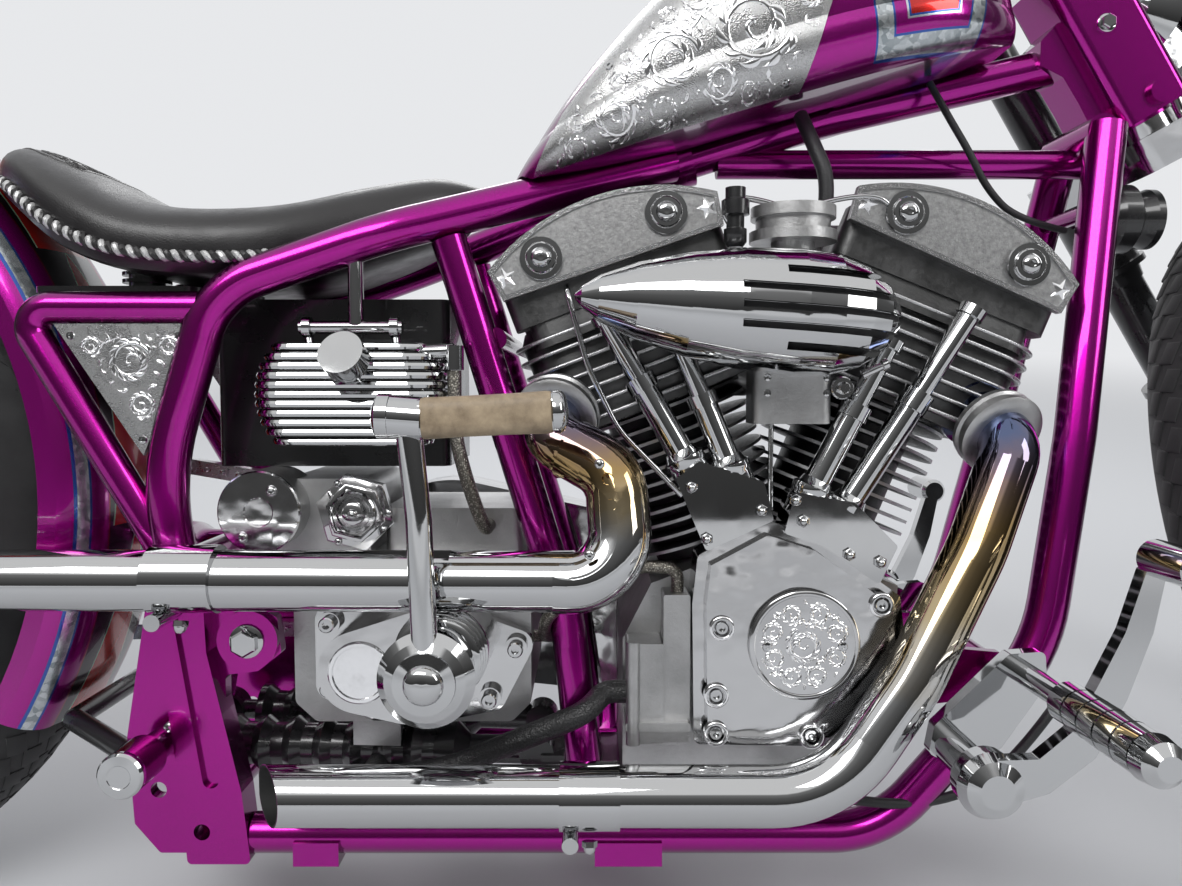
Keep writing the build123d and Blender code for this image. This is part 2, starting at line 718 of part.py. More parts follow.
with BuildPart() as tank_skin:
    for x, z, lean, height, half in tank_sections:
        near = half + gap
        far = near + tank_panel_thick
        low = height + gap
        high = low + tank_panel_thick
        with BuildSketch(tank_section(x, z, lean)):
            with BuildLine():
                ThreePointArc((-0.80 * far, 0), (-0.96 * far, 0.07 * high), (-far, 0.24 * high))
                ThreePointArc((-far, 0.24 * high), (-0.80 * far, 0.74 * high), (0, high))
                Line((0, high), (0, low))
                ThreePointArc((0, low), (-0.80 * near, 0.74 * low), (-near, 0.24 * low))
                ThreePointArc((-near, 0.24 * low), (-0.96 * near, 0.07 * low), (-0.80 * near, 0))
                Line((-0.80 * near, 0), (-0.80 * far, 0))
            make_face()
    loft()

with BuildPart() as tank_panels:
    add(side_plate(tank_panel, 20, 160, 5))
    add(tank_skin.part, mode=Mode.INTERSECT)
    right_panel = tank_panels.part
    add(right_panel.mirror(Plane.XZ))
    add(fuel_tank.part, mode=Mode.SUBTRACT)
pieces["tank_panels"] = tank_panels

# Engraved panels in the frame triangles
triangle_panel = [(-560, 517), (-452, 517), (-494, 416)]
panel_thick = 4.0

with BuildPart() as triangle_panels:
    for panel in both_sides(side_plate(triangle_panel, rail_y + 4, rail_y + 4 + panel_thick)):
        add(panel)
    for panel in both_sides(side_plate([(-552, 517.4), (-460, 517.4), (-480, 505), (-534, 505)], rail_y - 6, rail_y + 4)):
        add(panel)
    add(frame_rear.part, mode=Mode.SUBTRACT)
pieces["triangle_panels"] = triangle_panels

# Saddle: sections along its length
# columns: x, half width, height of the edge, of the crown, and of the base
seat_sections = [
    (-654, 20, 648, 655, 642),
    (-616, 76, 634, 670, 614),
    (-560, 112, 594, 646, 576),
    (-496, 125, 572, 620, 557),
    (-407, 112, 571, 623, 557),
    (-320, 70, 592, 641, 578),
    (-240, 20, 633, 641, 624),
]

with BuildPart() as seat:
    for x, half, edge, crown, base in seat_sections:
        with BuildSketch(Plane(origin=(x, 0, 0), x_dir=(0, 1, 0), z_dir=(1, 0, 0))):
            with BuildLine():
                Polyline((half, edge), (0.86 * half, base), (-0.86 * half, base), (-half, edge))
                ThreePointArc((-half, edge), (0, crown), (half, edge))
            make_face()
    loft()
    for rail in both_sides(tube(rail_route, rail_bends, tube_r + gap)):
        add(rail, mode=Mode.SUBTRACT)
    add(frame_rear.part, mode=Mode.SUBTRACT)
pieces["seat"] = seat

# Seat springs on their black plate
spring_foot_z = top_rail_z + thin_tube_r + gap + 5
# columns: x, y, top z, radius
springs = [(-521, -48, 566, 19), (-521, 48, 566, 19), (-466, -28, 561, 15), (-466, 28, 561, 15)]

with BuildPart() as seat_springs:
    with BuildSketch(Plane.XY.offset(spring_foot_z - 5)):
        with Locations((-524, 0)):
            RectangleRounded(128, 2 * rail_y - 20, 12)
    extrude(amount=5)
    for x, y, top, radius in springs:
        stations = [(0, radius - 5)]
        height = top - spring_foot_z
        turns = 3
        for turn in range(turns):
            step = height / turns
            stations += [(turn * step + 1, radius - 5), (turn * step + 1, radius), (turn * step + 4, radius),
                         (turn * step + 4, radius - 5)]
        stations += [(height, radius - 5)]
        add(turned((x, y, spring_foot_z), (0, 0, 1), stations))
    add(seat.part, mode=Mode.SUBTRACT)
pieces["seat_springs"] = seat_springs

# Battery and electrics box
with BuildPart() as battery_box:
    with BuildSketch(Plane.XY.offset(402)):
        with Locations((-366, 14)):
            RectangleRounded(196, 130, 8)
    extrude(amount=140)
    add(frame_cradle.part, mode=Mode.SUBTRACT)
pieces["battery_box"] = battery_box

# Oil tank with level ribs, hung from the seat rail
oil_tank_x = -338.0
oil_tank_z = 463.0
oil_tank_y = 92.0
oil_tank_long = 152.0
oil_tank_wide = 62.0
rib_count = 11
rib_pitch = 7.3
rib_thick = 4.2
rib_depth = 3.5
oil_tank_round = 44.0
hanger_y = 104.0
elbow_x = -256.0
elbow_y = 103.0
elbow_z = 497.0

with BuildPart() as oil_tank:
    for index in range(rib_count):
        height = (index - (rib_count - 1) / 2) * rib_pitch
        reach = sqrt(1 - (height / oil_tank_round) ** 2)
        long = oil_tank_long - 62 * (1 - reach)
        wide = oil_tank_wide * (0.35 + 0.65 * reach)
        corner = wide / 2 - 1
        # each level is a band of the body with a rib standing out at its middle
        for thick, sink in ((rib_pitch, rib_depth), (rib_thick, 0)):
            with BuildSketch(Plane.XY.offset(oil_tank_z + height - thick / 2)):
                with Locations((oil_tank_x, -oil_tank_y)):
                    RectangleRounded(long - 2 * sink, wide - 2 * sink, corner - sink)
            extrude(amount=thick)
    add(rod((oil_tank_x, -64, oil_tank_z), (oil_tank_x, -51 - gap, oil_tank_z), 24))
    add(turned((oil_tank_x + 8, -oil_tank_y - 8, oil_tank_z + 12), (-0.12, -0.82, 0.42),
               [(0, 12), (24, 13), (28, 17.5), (44, 17.5)]))
    add(rod((oil_tank_x + 40, -elbow_y + 3, elbow_z - 2), (elbow_x, -elbow_y, elbow_z), 6))
    add(rod((elbow_x, -elbow_y, elbow_z + 4), (elbow_x, -elbow_y, elbow_z - 15), 7.5))
    top = oil_tank_z + rib_count * rib_pitch / 2
    add(rod((-332, -hanger_y, 570), (-332, -hanger_y, top + 14), 6))
    add(rod((-376, -hanger_y, top + 12), (-296, -hanger_y, top + 12), 5))
    for x in (-370, -302):
        add(rod((x - 3, -hanger_y, top + 12), (x + 3, -hanger_y, top + 12), 8))
        add(rod((x, -hanger_y, top + 12), (x, -oil_tank_y, oil_tank_z + 24), 3.5))
    add(frame_rear.part, mode=Mode.SUBTRACT)
pieces["oil_tank"] = oil_tank

# Engine: crankcase with the oil pump's housing beside the timing cover
# columns: from x, from z, to x, to z, how far it stands out
pump_blocks = [(-121, 188, -92, 268, 117), (-92, 188, -71, 306, 113), (-122, 199, -71, 206, 120)]

with BuildPart() as crankcase:
    with BuildSketch(Plane.XZ.offset(-case_half)):
        with Locations((0, crank_z)):
            Circle(case_r)
        for lean in (-rear_lean, front_lean):
            with Locations(Location((deck / 2 * sin(radians(lean)), crank_z + deck / 2 * cos(radians(lean))), -lean)):
                Rectangle(2 * barrel_r + 24, deck - 2 * gap)
        with Locations((-58, 196)):
            Rectangle(130, 2 * (196 - crank_z + case_r))
        make_hull()
    extrude(amount=2 * case_half)
    for lean in (-rear_lean, front_lean):
        with BuildSketch(cylinder_plane(lean, deck - gap)):
            Rectangle(2 * barrel_r + 100, 3 * case_half)
        extrude(amount=80, mode=Mode.SUBTRACT)
    add(rod((0, case_half - 2, crank_z), (0, primary_near - gap, crank_z), primary_boss_r))
    for low_x, low_z, high_x, high_z, far in pump_blocks:
        add(side_plate([(low_x, low_z), (high_x, low_z), (high_x, high_z), (low_x, high_z)], case_half - 2, far, 2))
    add(rod((-116, -117, 188), (-116, -117, 270), 5.5))
    add(frame_cradle.part, mode=Mode.SUBTRACT)
pieces["crankcase"] = crankcase

# Engine: timing cover with the round points cover
timing_outline = [(-70, 300), (-66, 338), (-14, 366), (28, 352), (92, 306), (97, 268), (76, 206), (52, 186),
                  (-68, 188)]
timing_back = case_half + gap
cover_screws = [(-48, 283), (-52, 230), (-52, 200), (75, 301), (22, 198)]
screw_boss_r = 9.5
screw_recess_r = 6.5

with BuildPart() as timing_cover:
    add(side_plate(timing_outline, timing_back, timing_face_y - 8, 6))
    with BuildSketch(Plane.XZ.offset(timing_face_y - 8)):
        with BuildLine():
            Polyline(*timing_outline, close=True)
        make_face()
        offset(amount=-10)
    extrude(amount=8)
    for x, z in cover_screws:
        add(rod((x, -timing_face_y + 4, z), (x, -timing_face_y - 2, z), screw_boss_r))
        add(rod((x, -timing_face_y + 4, z), (x, -timing_face_y - 6, z), screw_recess_r), mode=Mode.SUBTRACT)
    add(rod((points_x, -timing_face_y, points_z), (points_x, -timing_face_y - 6, points_z), points_r))
pieces["timing_cover"] = timing_cover

# Engine: finned barrels and heads
with BuildPart() as cylinders:
    for lean in (-rear_lean, front_lean):
        with BuildSketch(cylinder_plane(lean, deck)):
            Circle(barrel_r)
        extrude(amount=barrel_length)
        for index in range(fin_count):
            at = deck + 14 + index * (barrel_length - 18) / (fin_count - 1)
            with BuildSketch(cylinder_plane(lean, at)):
                Circle(fin_r)
            extrude(amount=fin_thick)
pieces["cylinders"] = cylinders

# Exhaust routes, from the ports
front_pipe_route = [(168, -62, 450), (179, -112, 424), (143, -134, 345), (90, -152, 250),
                    (30, -front_pipe_y, front_pipe_z), (-402, -front_pipe_y, front_pipe_z)]
rear_pipe_route = [(-168, -60, 460), (-184, -124, 432), (-132, -143, 404), (-126, -rear_pipe_y, rear_pipe_z - 1),
                   (-990, -rear_pipe_y, rear_pipe_z + 1)]
port_r = 27.0
flange_thick = 6.0

head_foot = deck + barrel_length + gap
with BuildPart() as heads:
    for lean in (-rear_lean, front_lean):
        with BuildSketch(cylinder_plane(lean, head_foot)):
            RectangleRounded(2 * head_half_length - 24, 2 * head_half_width - 24, 30)
        extrude(amount=head_height)
        for index in range(head_fins):
            with BuildSketch(cylinder_plane(lean, head_foot + 4 + index * 11)):
                RectangleRounded(2 * head_half_length, 2 * head_half_width, 34)
            extrude(amount=fin_thick)
    for route in (front_pipe_route, rear_pipe_route):
        port = Vector(*route[0])
        out = (Vector(*route[1]) - port).normalized()
        add(rod(port - out * gap, port + out * 80, port_r + 4), mode=Mode.SUBTRACT)
        add(rod(port - out * 30, port - out * gap, port_r))
pieces["heads"] = heads

# Engine: rocker boxes and their cast cover plates
rocker_foot = head_foot + head_height + gap
with BuildPart() as rocker_boxes:
    for lean in (-rear_lean, front_lean):
        with BuildSketch(cylinder_plane(lean, rocker_foot)):
            RectangleRounded(166, 176, 16)
        extrude(amount=rocker_height, taper=6)
        for y in (-71, 71):
            with BuildSketch(cylinder_plane(lean, rocker_foot + 20)):
                with Locations((0, y)):
                    RectangleRounded(184, 34, 12)
            extrude(amount=rocker_height - 22)
pieces["rocker_boxes"] = rocker_boxes

plate_thick = 9.0
plate_caps = [(-52, 392.5), (52, 391)]
with BuildPart() as rocker_plates:
    for lean in (-rear_lean, front_lean):
        side = cylinder_plane(lean, 0)
        for sign in (-1, 1):
            face = Plane(origin=side.origin + Vector(0, sign * (88 + gap), 0), x_dir=side.x_dir, z_dir=(0, sign, 0))
            up = 1 if face.y_dir.Z > 0 else -1
            with BuildSketch(face):
                with BuildLine():
                    ThreePointArc((-95, up * 398), (0, up * 423), (95, up * 392))
                    Line((95, up * 392), (91, up * 366))
                    Line((91, up * 366), (-92, up * 372))
                    Line((-92, up * 372), (-95, up * 398))
                make_face()
            extrude(amount=plate_thick)
            with BuildSketch(face.offset(plate_thick)):
                with BuildLine():
                    ThreePointArc((-91, up * 395), (0, up * 419), (91, up * 389))
                    Line((91, up * 389), (87, up * 370))
                    Line((87, up * 370), (-88, up * 376))
                    Line((-88, up * 376), (-91, up * 395))
                make_face()
                with Locations(*[(x, up * z) for x, z in plate_caps]):
                    Circle(16, mode=Mode.SUBTRACT)
            extrude(amount=-1.4, mode=Mode.SUBTRACT)
            with BuildSketch(face.offset(plate_thick)):
                with Locations(*[(x, up * z) for x, z in plate_caps]):
                    Circle(12.5)
            extrude(amount=3.5)
pieces["rocker_plates"] = rocker_plates

# Engine: pushrod tubes and lifter blocks
# columns: foot x, foot z, top x, top z
pushrods = [(-70, 402, -140, 526), (-36, 396, -82, 508), (20, 378, 86, 506), (46, 366, 150, 530)]
pushrod_y = 106.0

with BuildPart() as pushrod_tubes:
    for x0, z0, x1, z1 in pushrods:
        start = Vector(x0, -pushrod_y, z0)
        reach = Vector(x1, -pushrod_y + 4, z1) - start
        length = reach.length
        add(turned(start, reach, [(-12, 14), (6, 14), (6, 10.5), (length * 0.52, 10.5), (length * 0.52, 12.5),
                                  (length * 0.60, 12.5), (length * 0.60, 8.5), (length - 8, 8.5),
                                  (length - 8, 11), (length, 11)]))
    for outline in ([(-84, 398), (-66, 412), (-16, 396), (-8, 366), (-60, 342)],
                    [(0, 356), (8, 388), (54, 380), (88, 346), (74, 316), (30, 346)]):
        add(side_plate(outline, case_half + gap, 122, 3))
    add(tube([(-168, -88 - gap, 549), (-167, -108, 541), (-152, -112, 486), (-128, -112, 436), (-78, -110, 384)],
             [8, 60, 80], 2.3))
    add(timing_cover.part, mode=Mode.SUBTRACT)
    add(crankcase.part, mode=Mode.SUBTRACT)
pieces["pushrod_tubes"] = pushrod_tubes

# Engine: carburettor, manifold, air cleaner
with BuildPart() as carburettor:
    with BuildSketch(Plane.XZ.offset(64)):
        with Locations((0, 500)):
            Circle(24)
    extrude(amount=50)
    with BuildSketch(Plane.XY.offset(440)):
        with Locations((8, -90)):
            RectangleRounded(62, 40, 8)
    extrude(amount=52)
    add(rod((0, -64, 500), (0, 0, 500), 20))
    for low_z, high_z, radius in ((490, 584, 17), (582, 590, 34), (590, 600, 29), (600, 609, 33)):
        add(rod((10, -92, low_z), (10, -92, high_z), radius))
    add(rod((-70, 0, 480), (70, 0, 480), 19))
    add(cylinders.part, mode=Mode.SUBTRACT)
    add(heads.part, mode=Mode.SUBTRACT)
    add(rocker_boxes.part, mode=Mode.SUBTRACT)
    add(rocker_plates.part, mode=Mode.SUBTRACT)
    for chip in carburettor.solids().sort_by(SortBy.VOLUME)[:-1]:
        add(chip, mode=Mode.SUBTRACT)
pieces["carburettor"] = carburettor

air_x = -161.0
air_z = 536.0
air_y = 138.0
air_axis = (1, 0, -0.075)
air_shape = [(0, 2), (5, 8), (18, 17), (46, 28.5), (84, 38.5), (122, 44.5), (164, 47), (190, 45), (212, 38), (228, 27),
             (238, 14), (241, 4)]
louvre_thick = 5.5
louvre_depth = 7.0
# columns: height from the axis, where the louvre starts
louvres = [(27, 150), (13.5, 118), (0, 118), (-13.5, 118), (-27, 150)]

with BuildPart() as louvre_core:
    add(turned((air_x, -air_y, air_z), air_axis, [(at, max(radius - louvre_depth, 1)) for at, radius in air_shape]))

with BuildPart() as louvre_cuts:
    for height, start in louvres:
        with BuildSketch(Plane.XZ.offset(air_y)):
            with Locations(Location((air_x + (start + 250) / 2, air_z + height - 0.075 * (start + 250) / 2), -4.3)):
                Rectangle(250 - start, louvre_thick)
        extrude(amount=60)
    add(louvre_core.part, mode=Mode.SUBTRACT)

with BuildPart() as air_cleaner:
    add(turned((air_x, -air_y, air_z), air_axis, air_shape))
    with BuildSketch(Plane.XZ.offset(60)):
        with Locations((-40, 530)):
            Rectangle(400, 200)
    extrude(amount=114 + gap - 60, mode=Mode.SUBTRACT)
    add(louvre_cuts.part, mode=Mode.SUBTRACT)
pieces["air_cleaner"] = air_cleaner

# Exhaust: two pipes with flanges, clamps and slash-cut ends
bore_depth = 60.0
slash_normal = Vector(-0.83, -0.56, 0)
# columns: pipe route, corner radii, clamp from, clamp to
pipe_table = [
    (front_pipe_route, [30, 200, 150, 90], -172, -128),
    (rear_pipe_route, [26, 34, 36], -466, -418),
]
shield_start = (-164, -129.2, 421)
shield_end = (-176, -rear_pipe_y, rear_pipe_z)
shield_r = pipe_r + 2.2
bend_centre = (-164, 368)
shield_holes = [(-137, 403), (-135, 385), (-139, 368)]
shield_hole_r = 4.2

with BuildPart() as bend_shield:
    add(tube([shield_start, rear_pipe_route[2], rear_pipe_route[3], shield_end], [34, 36], shield_r))
    x, z = bend_centre
    add(rod((x, 0, z), (x, -300, z), 34), mode=Mode.SUBTRACT)
    for x, z in shield_holes:
        add(rod((x, -130, z), (x, -220, z), shield_hole_r), mode=Mode.SUBTRACT)

with BuildPart() as exhaust_pipes:
    for route, corners, clamp_start, clamp_end in pipe_table:
        _, side, level = route[-1]
        end_x = route[-1][0]
        add(tube(route, corners, pipe_r))
        port = Vector(*route[0])
        out = (Vector(*route[1]) - port).normalized()
        add(rod(port, port + out * flange_thick, port_r + 3))
        add(rod((clamp_start, side, level), (clamp_end, side, level), pipe_r + 2.4))
        add(rod((clamp_start + 8, side - 22, level - pipe_r - 5), (clamp_start + 8, side + 14, level - pipe_r - 5), 6))
        add(rod((end_x + bore_depth, side, level), (end_x - 60, side, level), pipe_bore), mode=Mode.SUBTRACT)
        with BuildSketch(Plane(origin=(end_x + 14, side, level), z_dir=slash_normal)):
            Rectangle(120, 120)
        extrude(amount=60, mode=Mode.SUBTRACT)
    add(bend_shield.part)
pieces["exhaust_pipes"] = exhaust_pipes

# Gearbox with its starter
gearbox_outline = [(-392, 210), (-375, 194), (-214, 194), (-198, 210), (-198, 300), (-218, 332), (-330, 332),
                   (-392, 310)]

with BuildPart() as gearbox:
    add(side_plate(gearbox_outline, -68, 84, 8))
    with BuildSketch(Plane.XY.offset(332 - 2)):
        with Locations((-262, -6)):
            RectangleRounded(120, 116, 12)
    extrude(amount=38)
    add(rod((-415, -40, 369), (-415, -92, 369), 33))
    with BuildSketch(Plane.XZ.offset(-60)):
        with Locations((-372, 356)):
            RectangleRounded(80, 74, 10)
    extrude(amount=128)
    add(rod((output_x, 60, output_z), (output_x, 96, output_z), 16))
    add(rod((output_x, chain_y - 4, output_z), (output_x, chain_y + 4, output_z),
            output_pitch_r - chain_height / 2 - gap))
    with BuildSketch(Plane.XY.offset(cradle_z + thin_tube_r + gap)):
        with Locations((-330, 0)):
            Rectangle(40, 130)
    extrude(amount=194 + 4 - cradle_z - thin_tube_r - gap)
    for side in (-1, 1):
        add(rod((shock_front_x, side * shock_y, 150), (-600, side * shock_y, 160), shock_r + 4), mode=Mode.SUBTRACT)
pieces["gearbox"] = gearbox

# Gearbox side cover: a lobe round each bolt, with the round generic badge boss
cover_lobes = [(-358, 281), (-358, 229), (-322, 212), (-269, 212), (-230, 220), (-209, 261), (-262, 280)]
cover_near = 84 + gap
cover_far = 138.0
kick_x = -262.0
kick_z = 268.0

with BuildPart() as gearbox_cover:
    with BuildSketch(Plane.XZ.offset(cover_near)):
        with Locations(*cover_lobes):
            Circle(13)
        make_hull()
    extrude(amount=12)
    with BuildSketch(Plane.XZ.offset(cover_near)):
        with Locations((-325, 252)):
            Circle(32)
        with Locations((kick_x, kick_z)):
            Circle(36)
        with Locations((-290, 240)):
            Circle(28)
        make_hull()
    extrude(amount=cover_far - cover_near)
    add(rod((-325, -cover_far + 8, 252), (-325, -cover_far, 252), 22))
    for x, z in cover_lobes[:-1]:
        add(rod((x, -cover_near, z), (x, -cover_near - 20, z), 9))
pieces["gearbox_cover"] = gearbox_cover

# Kick starter
kick_y = 204.0
pedal_start = -264.0
pedal_length = 90.0

with BuildPart() as kick_starter:
    add(turned((kick_x, -cover_far - gap, kick_z), (0, -1, 0),
               [(0, 22), (30, 22), (38, 30), (66, 34), (72, 28), (76, 20)]))
    add(tube([(kick_x, -kick_y, kick_z), (kick_x - 4, -kick_y, 380), (-272, -kick_y, 440)], 90, 9))
    add(rod((-290, -kick_y, 449), (-262, -kick_y, 447), 15))
    with BuildSketch(Plane(origin=(pedal_start, -kick_y, 447.5), z_dir=(1, 0, 0.05))):
        RectangleRounded(26, 25, 7)
    extrude(amount=pedal_length)
    add(rod((pedal_start, -kick_y, 447.5), (pedal_start + pedal_length + 8, -kick_y, 452), 11))
pieces["kick_starter"] = kick_starter

# Hoses: two braided oil lines and the black breather hose
# columns: radius, route
hose_table = [
    (5.5, [(elbow_x, -elbow_y, elbow_z - 15 - gap), (elbow_x, -elbow_y, 430), (-246, -100, 390), (-234, -94, 354),
           (-234, -64 - gap, 354)]),
    (5.0, [(-80, -100, 306 + gap), (-80, -100, 324), (-110, -105, 328), (-150, -112, 312), (-184, -112, 290),
           (-188, -88, 266), (-180, -50, 256), (-198 + gap, -50, 256)]),
    (9.0, [(-330, -65 - gap, 150), (-330, -97, 150), (-262, -112, 166), (-207, -126, 194), (-154, -126, 216),
           (-138, -104, 226), (-121 - gap, -104, 226)]),
]


def hose(radius, route):
    """Hose along straight runs joined by arcs as large as the runs allow."""
    points = [Vector(*point) for point in route]
    bends = []
    for before, here, after in zip(points, points[1:], points[2:]):
        turn = radians((here - before).get_angle(after - here))
        bends.append(0.45 * min((here - before).length, (after - here).length) / sin(turn / 2) * cos(turn / 2))
    return tube(route, bends, radius)


with BuildPart() as hoses:
    for radius, route in hose_table:
        add(hose(radius, route))
pieces["hoses"] = hoses

# Primary drive cover on the left
with BuildPart() as primary_cover:
    with BuildSketch(Plane.XZ.offset(-primary_near)):
        with Locations((-290, 275)):
            Circle(100)
        with Locations((0, 228)):
            Circle(84)
        make_hull()
    extrude(amount=-(primary_far - primary_near))
    outer_edge = primary_cover.edges().group_by(Axis.Y)[-1]
    fillet(outer_edge, radius=16)
    with BuildSketch(Plane.XZ.offset(-primary_far)):
        with Locations((-290, 275)):
            Circle(66)
    extrude(amount=-8)
    left_tube = tube(seat_tube_route, 200, seat_tube_r + 3).mirror(Plane.XZ)
    add(left_tube, mode=Mode.SUBTRACT)
pieces["primary_cover"] = primary_cover

# Forward controls and footpegs
controls_y = 118.2
hub_x = 129.0
hub_z = 192.0
peg_x = 184.0
peg_z = 249.0
lever_outline = [(129, 213), (158, 214), (180, 233), (196, 264), (214, 302), (227, 345), (241, 345), (233, 302),
                 (217, 256), (197, 215), (166, 190), (130, 179)]

with BuildPart() as forward_controls:
    plate = side_plate([(112, 186), (140, 172), (168, 190), (202, 240), (200, 266), (172, 264), (116, 208)],
                       controls_y + gap, controls_y + 12, 5)
    hub = turned((hub_x, -controls_y - 10, hub_z), (0, -1, 0),
                 [(0, 14), (50, 14), (53, 18), (58, 23), (72, 24), (80, 20), (84, 12)])
    arm = side_plate(lever_outline, 196, 208, 2)
    toe = turned((237, -196, 352), (0, -1, 0), [(0, 10), (4, 13), (50, 13), (54, 10)])
    peg_stations = [(0, 9), (66, 9), (66, 12)]
    for ring_index in range(5):
        at = 68 + ring_index * 19
        peg_stations += [(at, 15), (at + 17, 15), (at + 17, 13.6), (at + 18.5, 13.6)]
    peg_stations += [(163, 15.6), (174, 14), (180, 8)]
    peg = turned((peg_x, -controls_y - 8, peg_z), (0, -1, 0), peg_stations)
    for item in (plate, hub, arm, toe, peg):
        for copy in both_sides(item):
            add(copy)
pieces["forward_controls"] = forward_controls

# Horn between the downtubes
with BuildPart() as horn:
    add(turned((horn_bar_x + 7 + gap, 0, horn_z), (1, 0, 0),
               [(0, 8), (22, 8), (22, 26), (30, 30), (44, 30), (50, 22), (60, 26), (66, 26)]))
pieces["horn"] = horn

# Steering: yokes with the stem
yoke_top = neck_length + 4.0
lower_yoke_top = -12.0

with BuildPart() as triple_trees:
    for foot, thick, radius in ((lower_yoke_top - tree_thick, tree_thick, 34), (yoke_top, 20, 30)):
        with BuildSketch(fork_plane.offset(foot)):
            Circle(30)
            with Locations((fork_offset, -fork_half), (fork_offset, fork_half)):
                Circle(radius)
            make_hull()
        extrude(amount=thick)
    add(rod(fork_point(0, 0, lower_yoke_top - tree_thick), fork_point(0, 0, yoke_top + 34), stem_r))
    add(rod(fork_point(0, 0, lower_yoke_top - 1), fork_point(0, 0, -gap), 26))
    add(rod(fork_point(0, 0, yoke_top + 20), fork_point(0, 0, yoke_top + 30), 19))
    for side in (-1, 1):
        add(rod(fork_point(fork_offset, side * fork_half, -60), fork_point(fork_offset, side * fork_half, 200),
                fork_tube_r + gap), mode=Mode.SUBTRACT)
    add(rod(fork_point(fork_offset + 30, 0, lower_yoke_top - 6), fork_point(fork_offset + 34, 0, 0), 8))
pieces["triple_trees"] = triple_trees

# Fork legs with their covers and sliders
slider_top = -250.0
slider_foot = -486.0

with BuildPart() as fork_legs:
    for side in (-1, 1):
        y = side * fork_half
        add(rod(fork_point(fork_offset, y, slider_top - 20), fork_point(fork_offset, y, yoke_top + 26), fork_tube_r))
        add(turned(fork_point(fork_offset, y, lower_yoke_top - tree_thick - gap), fork_plane.z_dir * -1,
                   [(0, cover_r), (14, cover_r), (14, 31), (20, 31), (20, cover_r), (76, cover_r), (76, 31),
                    (82, 31), (82, 24), (96, 22)]))
        add(turned(fork_point(fork_offset, y, slider_foot), fork_plane.z_dir,
                   [(0, 24), (6, slider_r), (slider_top - slider_foot - 8, slider_r),
                    (slider_top - slider_foot - 8, 31), (slider_top - slider_foot, 31)]))
    add(rod((front_axle_x, -140, front_tyre_r), (front_axle_x, 140, front_tyre_r), front_axle_r + gap),
        mode=Mode.SUBTRACT)
pieces["fork_legs"] = fork_legs

# Front axle, spacers and brake caliper
with BuildPart() as front_axle_set:
    x, z = front_axle
    add(rod((x, -146, z), (x, 146, z), front_axle_r))
    for side in (-1, 1):
        add(rod((x, side * (front_hub_half + gap), z), (x, side * (fork_half - slider_r - 2), z), 14))
        add(rod((x, side * (fork_half + slider_r + gap), z), (x, side * (fork_half + slider_r + 10), z), 15))
    caliper_x = x - 112
    caliper_z = z + 52
    with BuildSketch(Plane.XZ.offset(34)):
        with Locations(Location((caliper_x, caliper_z), -24)):
            RectangleRounded(52, 92, 13)
    extrude(amount=42)
    with BuildSketch(Plane.XZ.offset(-front_disc_y - disc_thick / 2 - 5)):
        with Locations((x, z)):
            Circle(front_disc_r + 5)
    extrude(amount=disc_thick + 10, mode=Mode.SUBTRACT)
    with BuildSketch(Plane.XZ.offset(62)):
        with BuildLine():
            Polyline((x + 12, z + 24), (x - 12, z - 14), (x - 110, z + 20), (x - 100, z + 70), close=True)
        make_face()
    extrude(amount=12)
    add(fork_legs.part, mode=Mode.SUBTRACT)
pieces["front_axle"] = front_axle_set

# Handlebar on its risers
bar_half_route = [(262, 70, 918), (222, 170, 1100), (205, 250, 1130), (80, 345, 1085)]
bar_route = [(x, -y, z) for x, y, z in reversed(bar_half_route)] + bar_half_route
riser_y = 45.0
grip_length = 118.0
bar_tip = Vector(*bar_half_route[-1])
bar_run = (Vector(*bar_half_route[-2]) - bar_tip).normalized()
mirror_ahead = 30.0
mirror_top = 18.0
mirror_depth = 14.0
mirror_hole_r = 4.25

with BuildPart() as handlebar:
    add(tube(bar_route, [45, 45, 60, 60, 45, 45], bar_r))
    for side in (-1, 1):
        foot = fork_point(50, side * riser_y, yoke_top + 20 + gap)
        top = Vector(262, side * riser_y, 918)
        add(rod(foot, top, 14))
        add(rod(top - Vector(0, 14, 0), top + Vector(0, 14, 0), 21))
    perch = bar_tip + bar_run * (grip_length + 8)
    ahead = Vector(bar_run.Y, -bar_run.X, 0).normalized()
    if ahead.X < 0:
        ahead = ahead * -1
    ring_part = rod(perch - bar_run * 11, perch + bar_run * 11, bar_r + 8, bar_r - 1)
    lug = rod(perch + ahead * (bar_r + 4), perch + ahead * 46, 10)
    blade = tube([perch + ahead * 40, perch + ahead * 52 - bar_run * 60, perch + ahead * 44 - bar_run * 140], 60, 5)
    boss_foot = perch + ahead * mirror_ahead
    boss = rod(boss_foot - Vector(0, 0, 8), boss_foot + Vector(0, 0, mirror_top), 9)
    for item in (ring_part, lug, blade, boss):
        for copy in both_sides(item):
            add(copy)
    socket = rod(boss_foot + Vector(0, 0, mirror_top - mirror_depth), boss_foot + Vector(0, 0, mirror_top), mirror_hole_r)
    for copy in both_sides(socket):
        add(copy, mode=Mode.SUBTRACT)
pieces["handlebar"] = handlebar

# Hand grips
with BuildPart() as grips:
    grip = turned(bar_tip - bar_run * 4, bar_run, [(0, 17), (6, 19), (14, 16.5), (grip_length - 10, 16.5),
                                                   (grip_length - 8, 20), (grip_length, 20)])
    for copy in both_sides(grip):
        add(copy)
    for copy in both_sides(rod(bar_tip, bar_tip + bar_run * (grip_length + 20), bar_r + gap)):
        add(copy, mode=Mode.SUBTRACT)
pieces["grips"] = grips


# Headlamp between the fork legs
lamp_x = 405.0
lamp_z = 825.0
lamp_r = 73.0

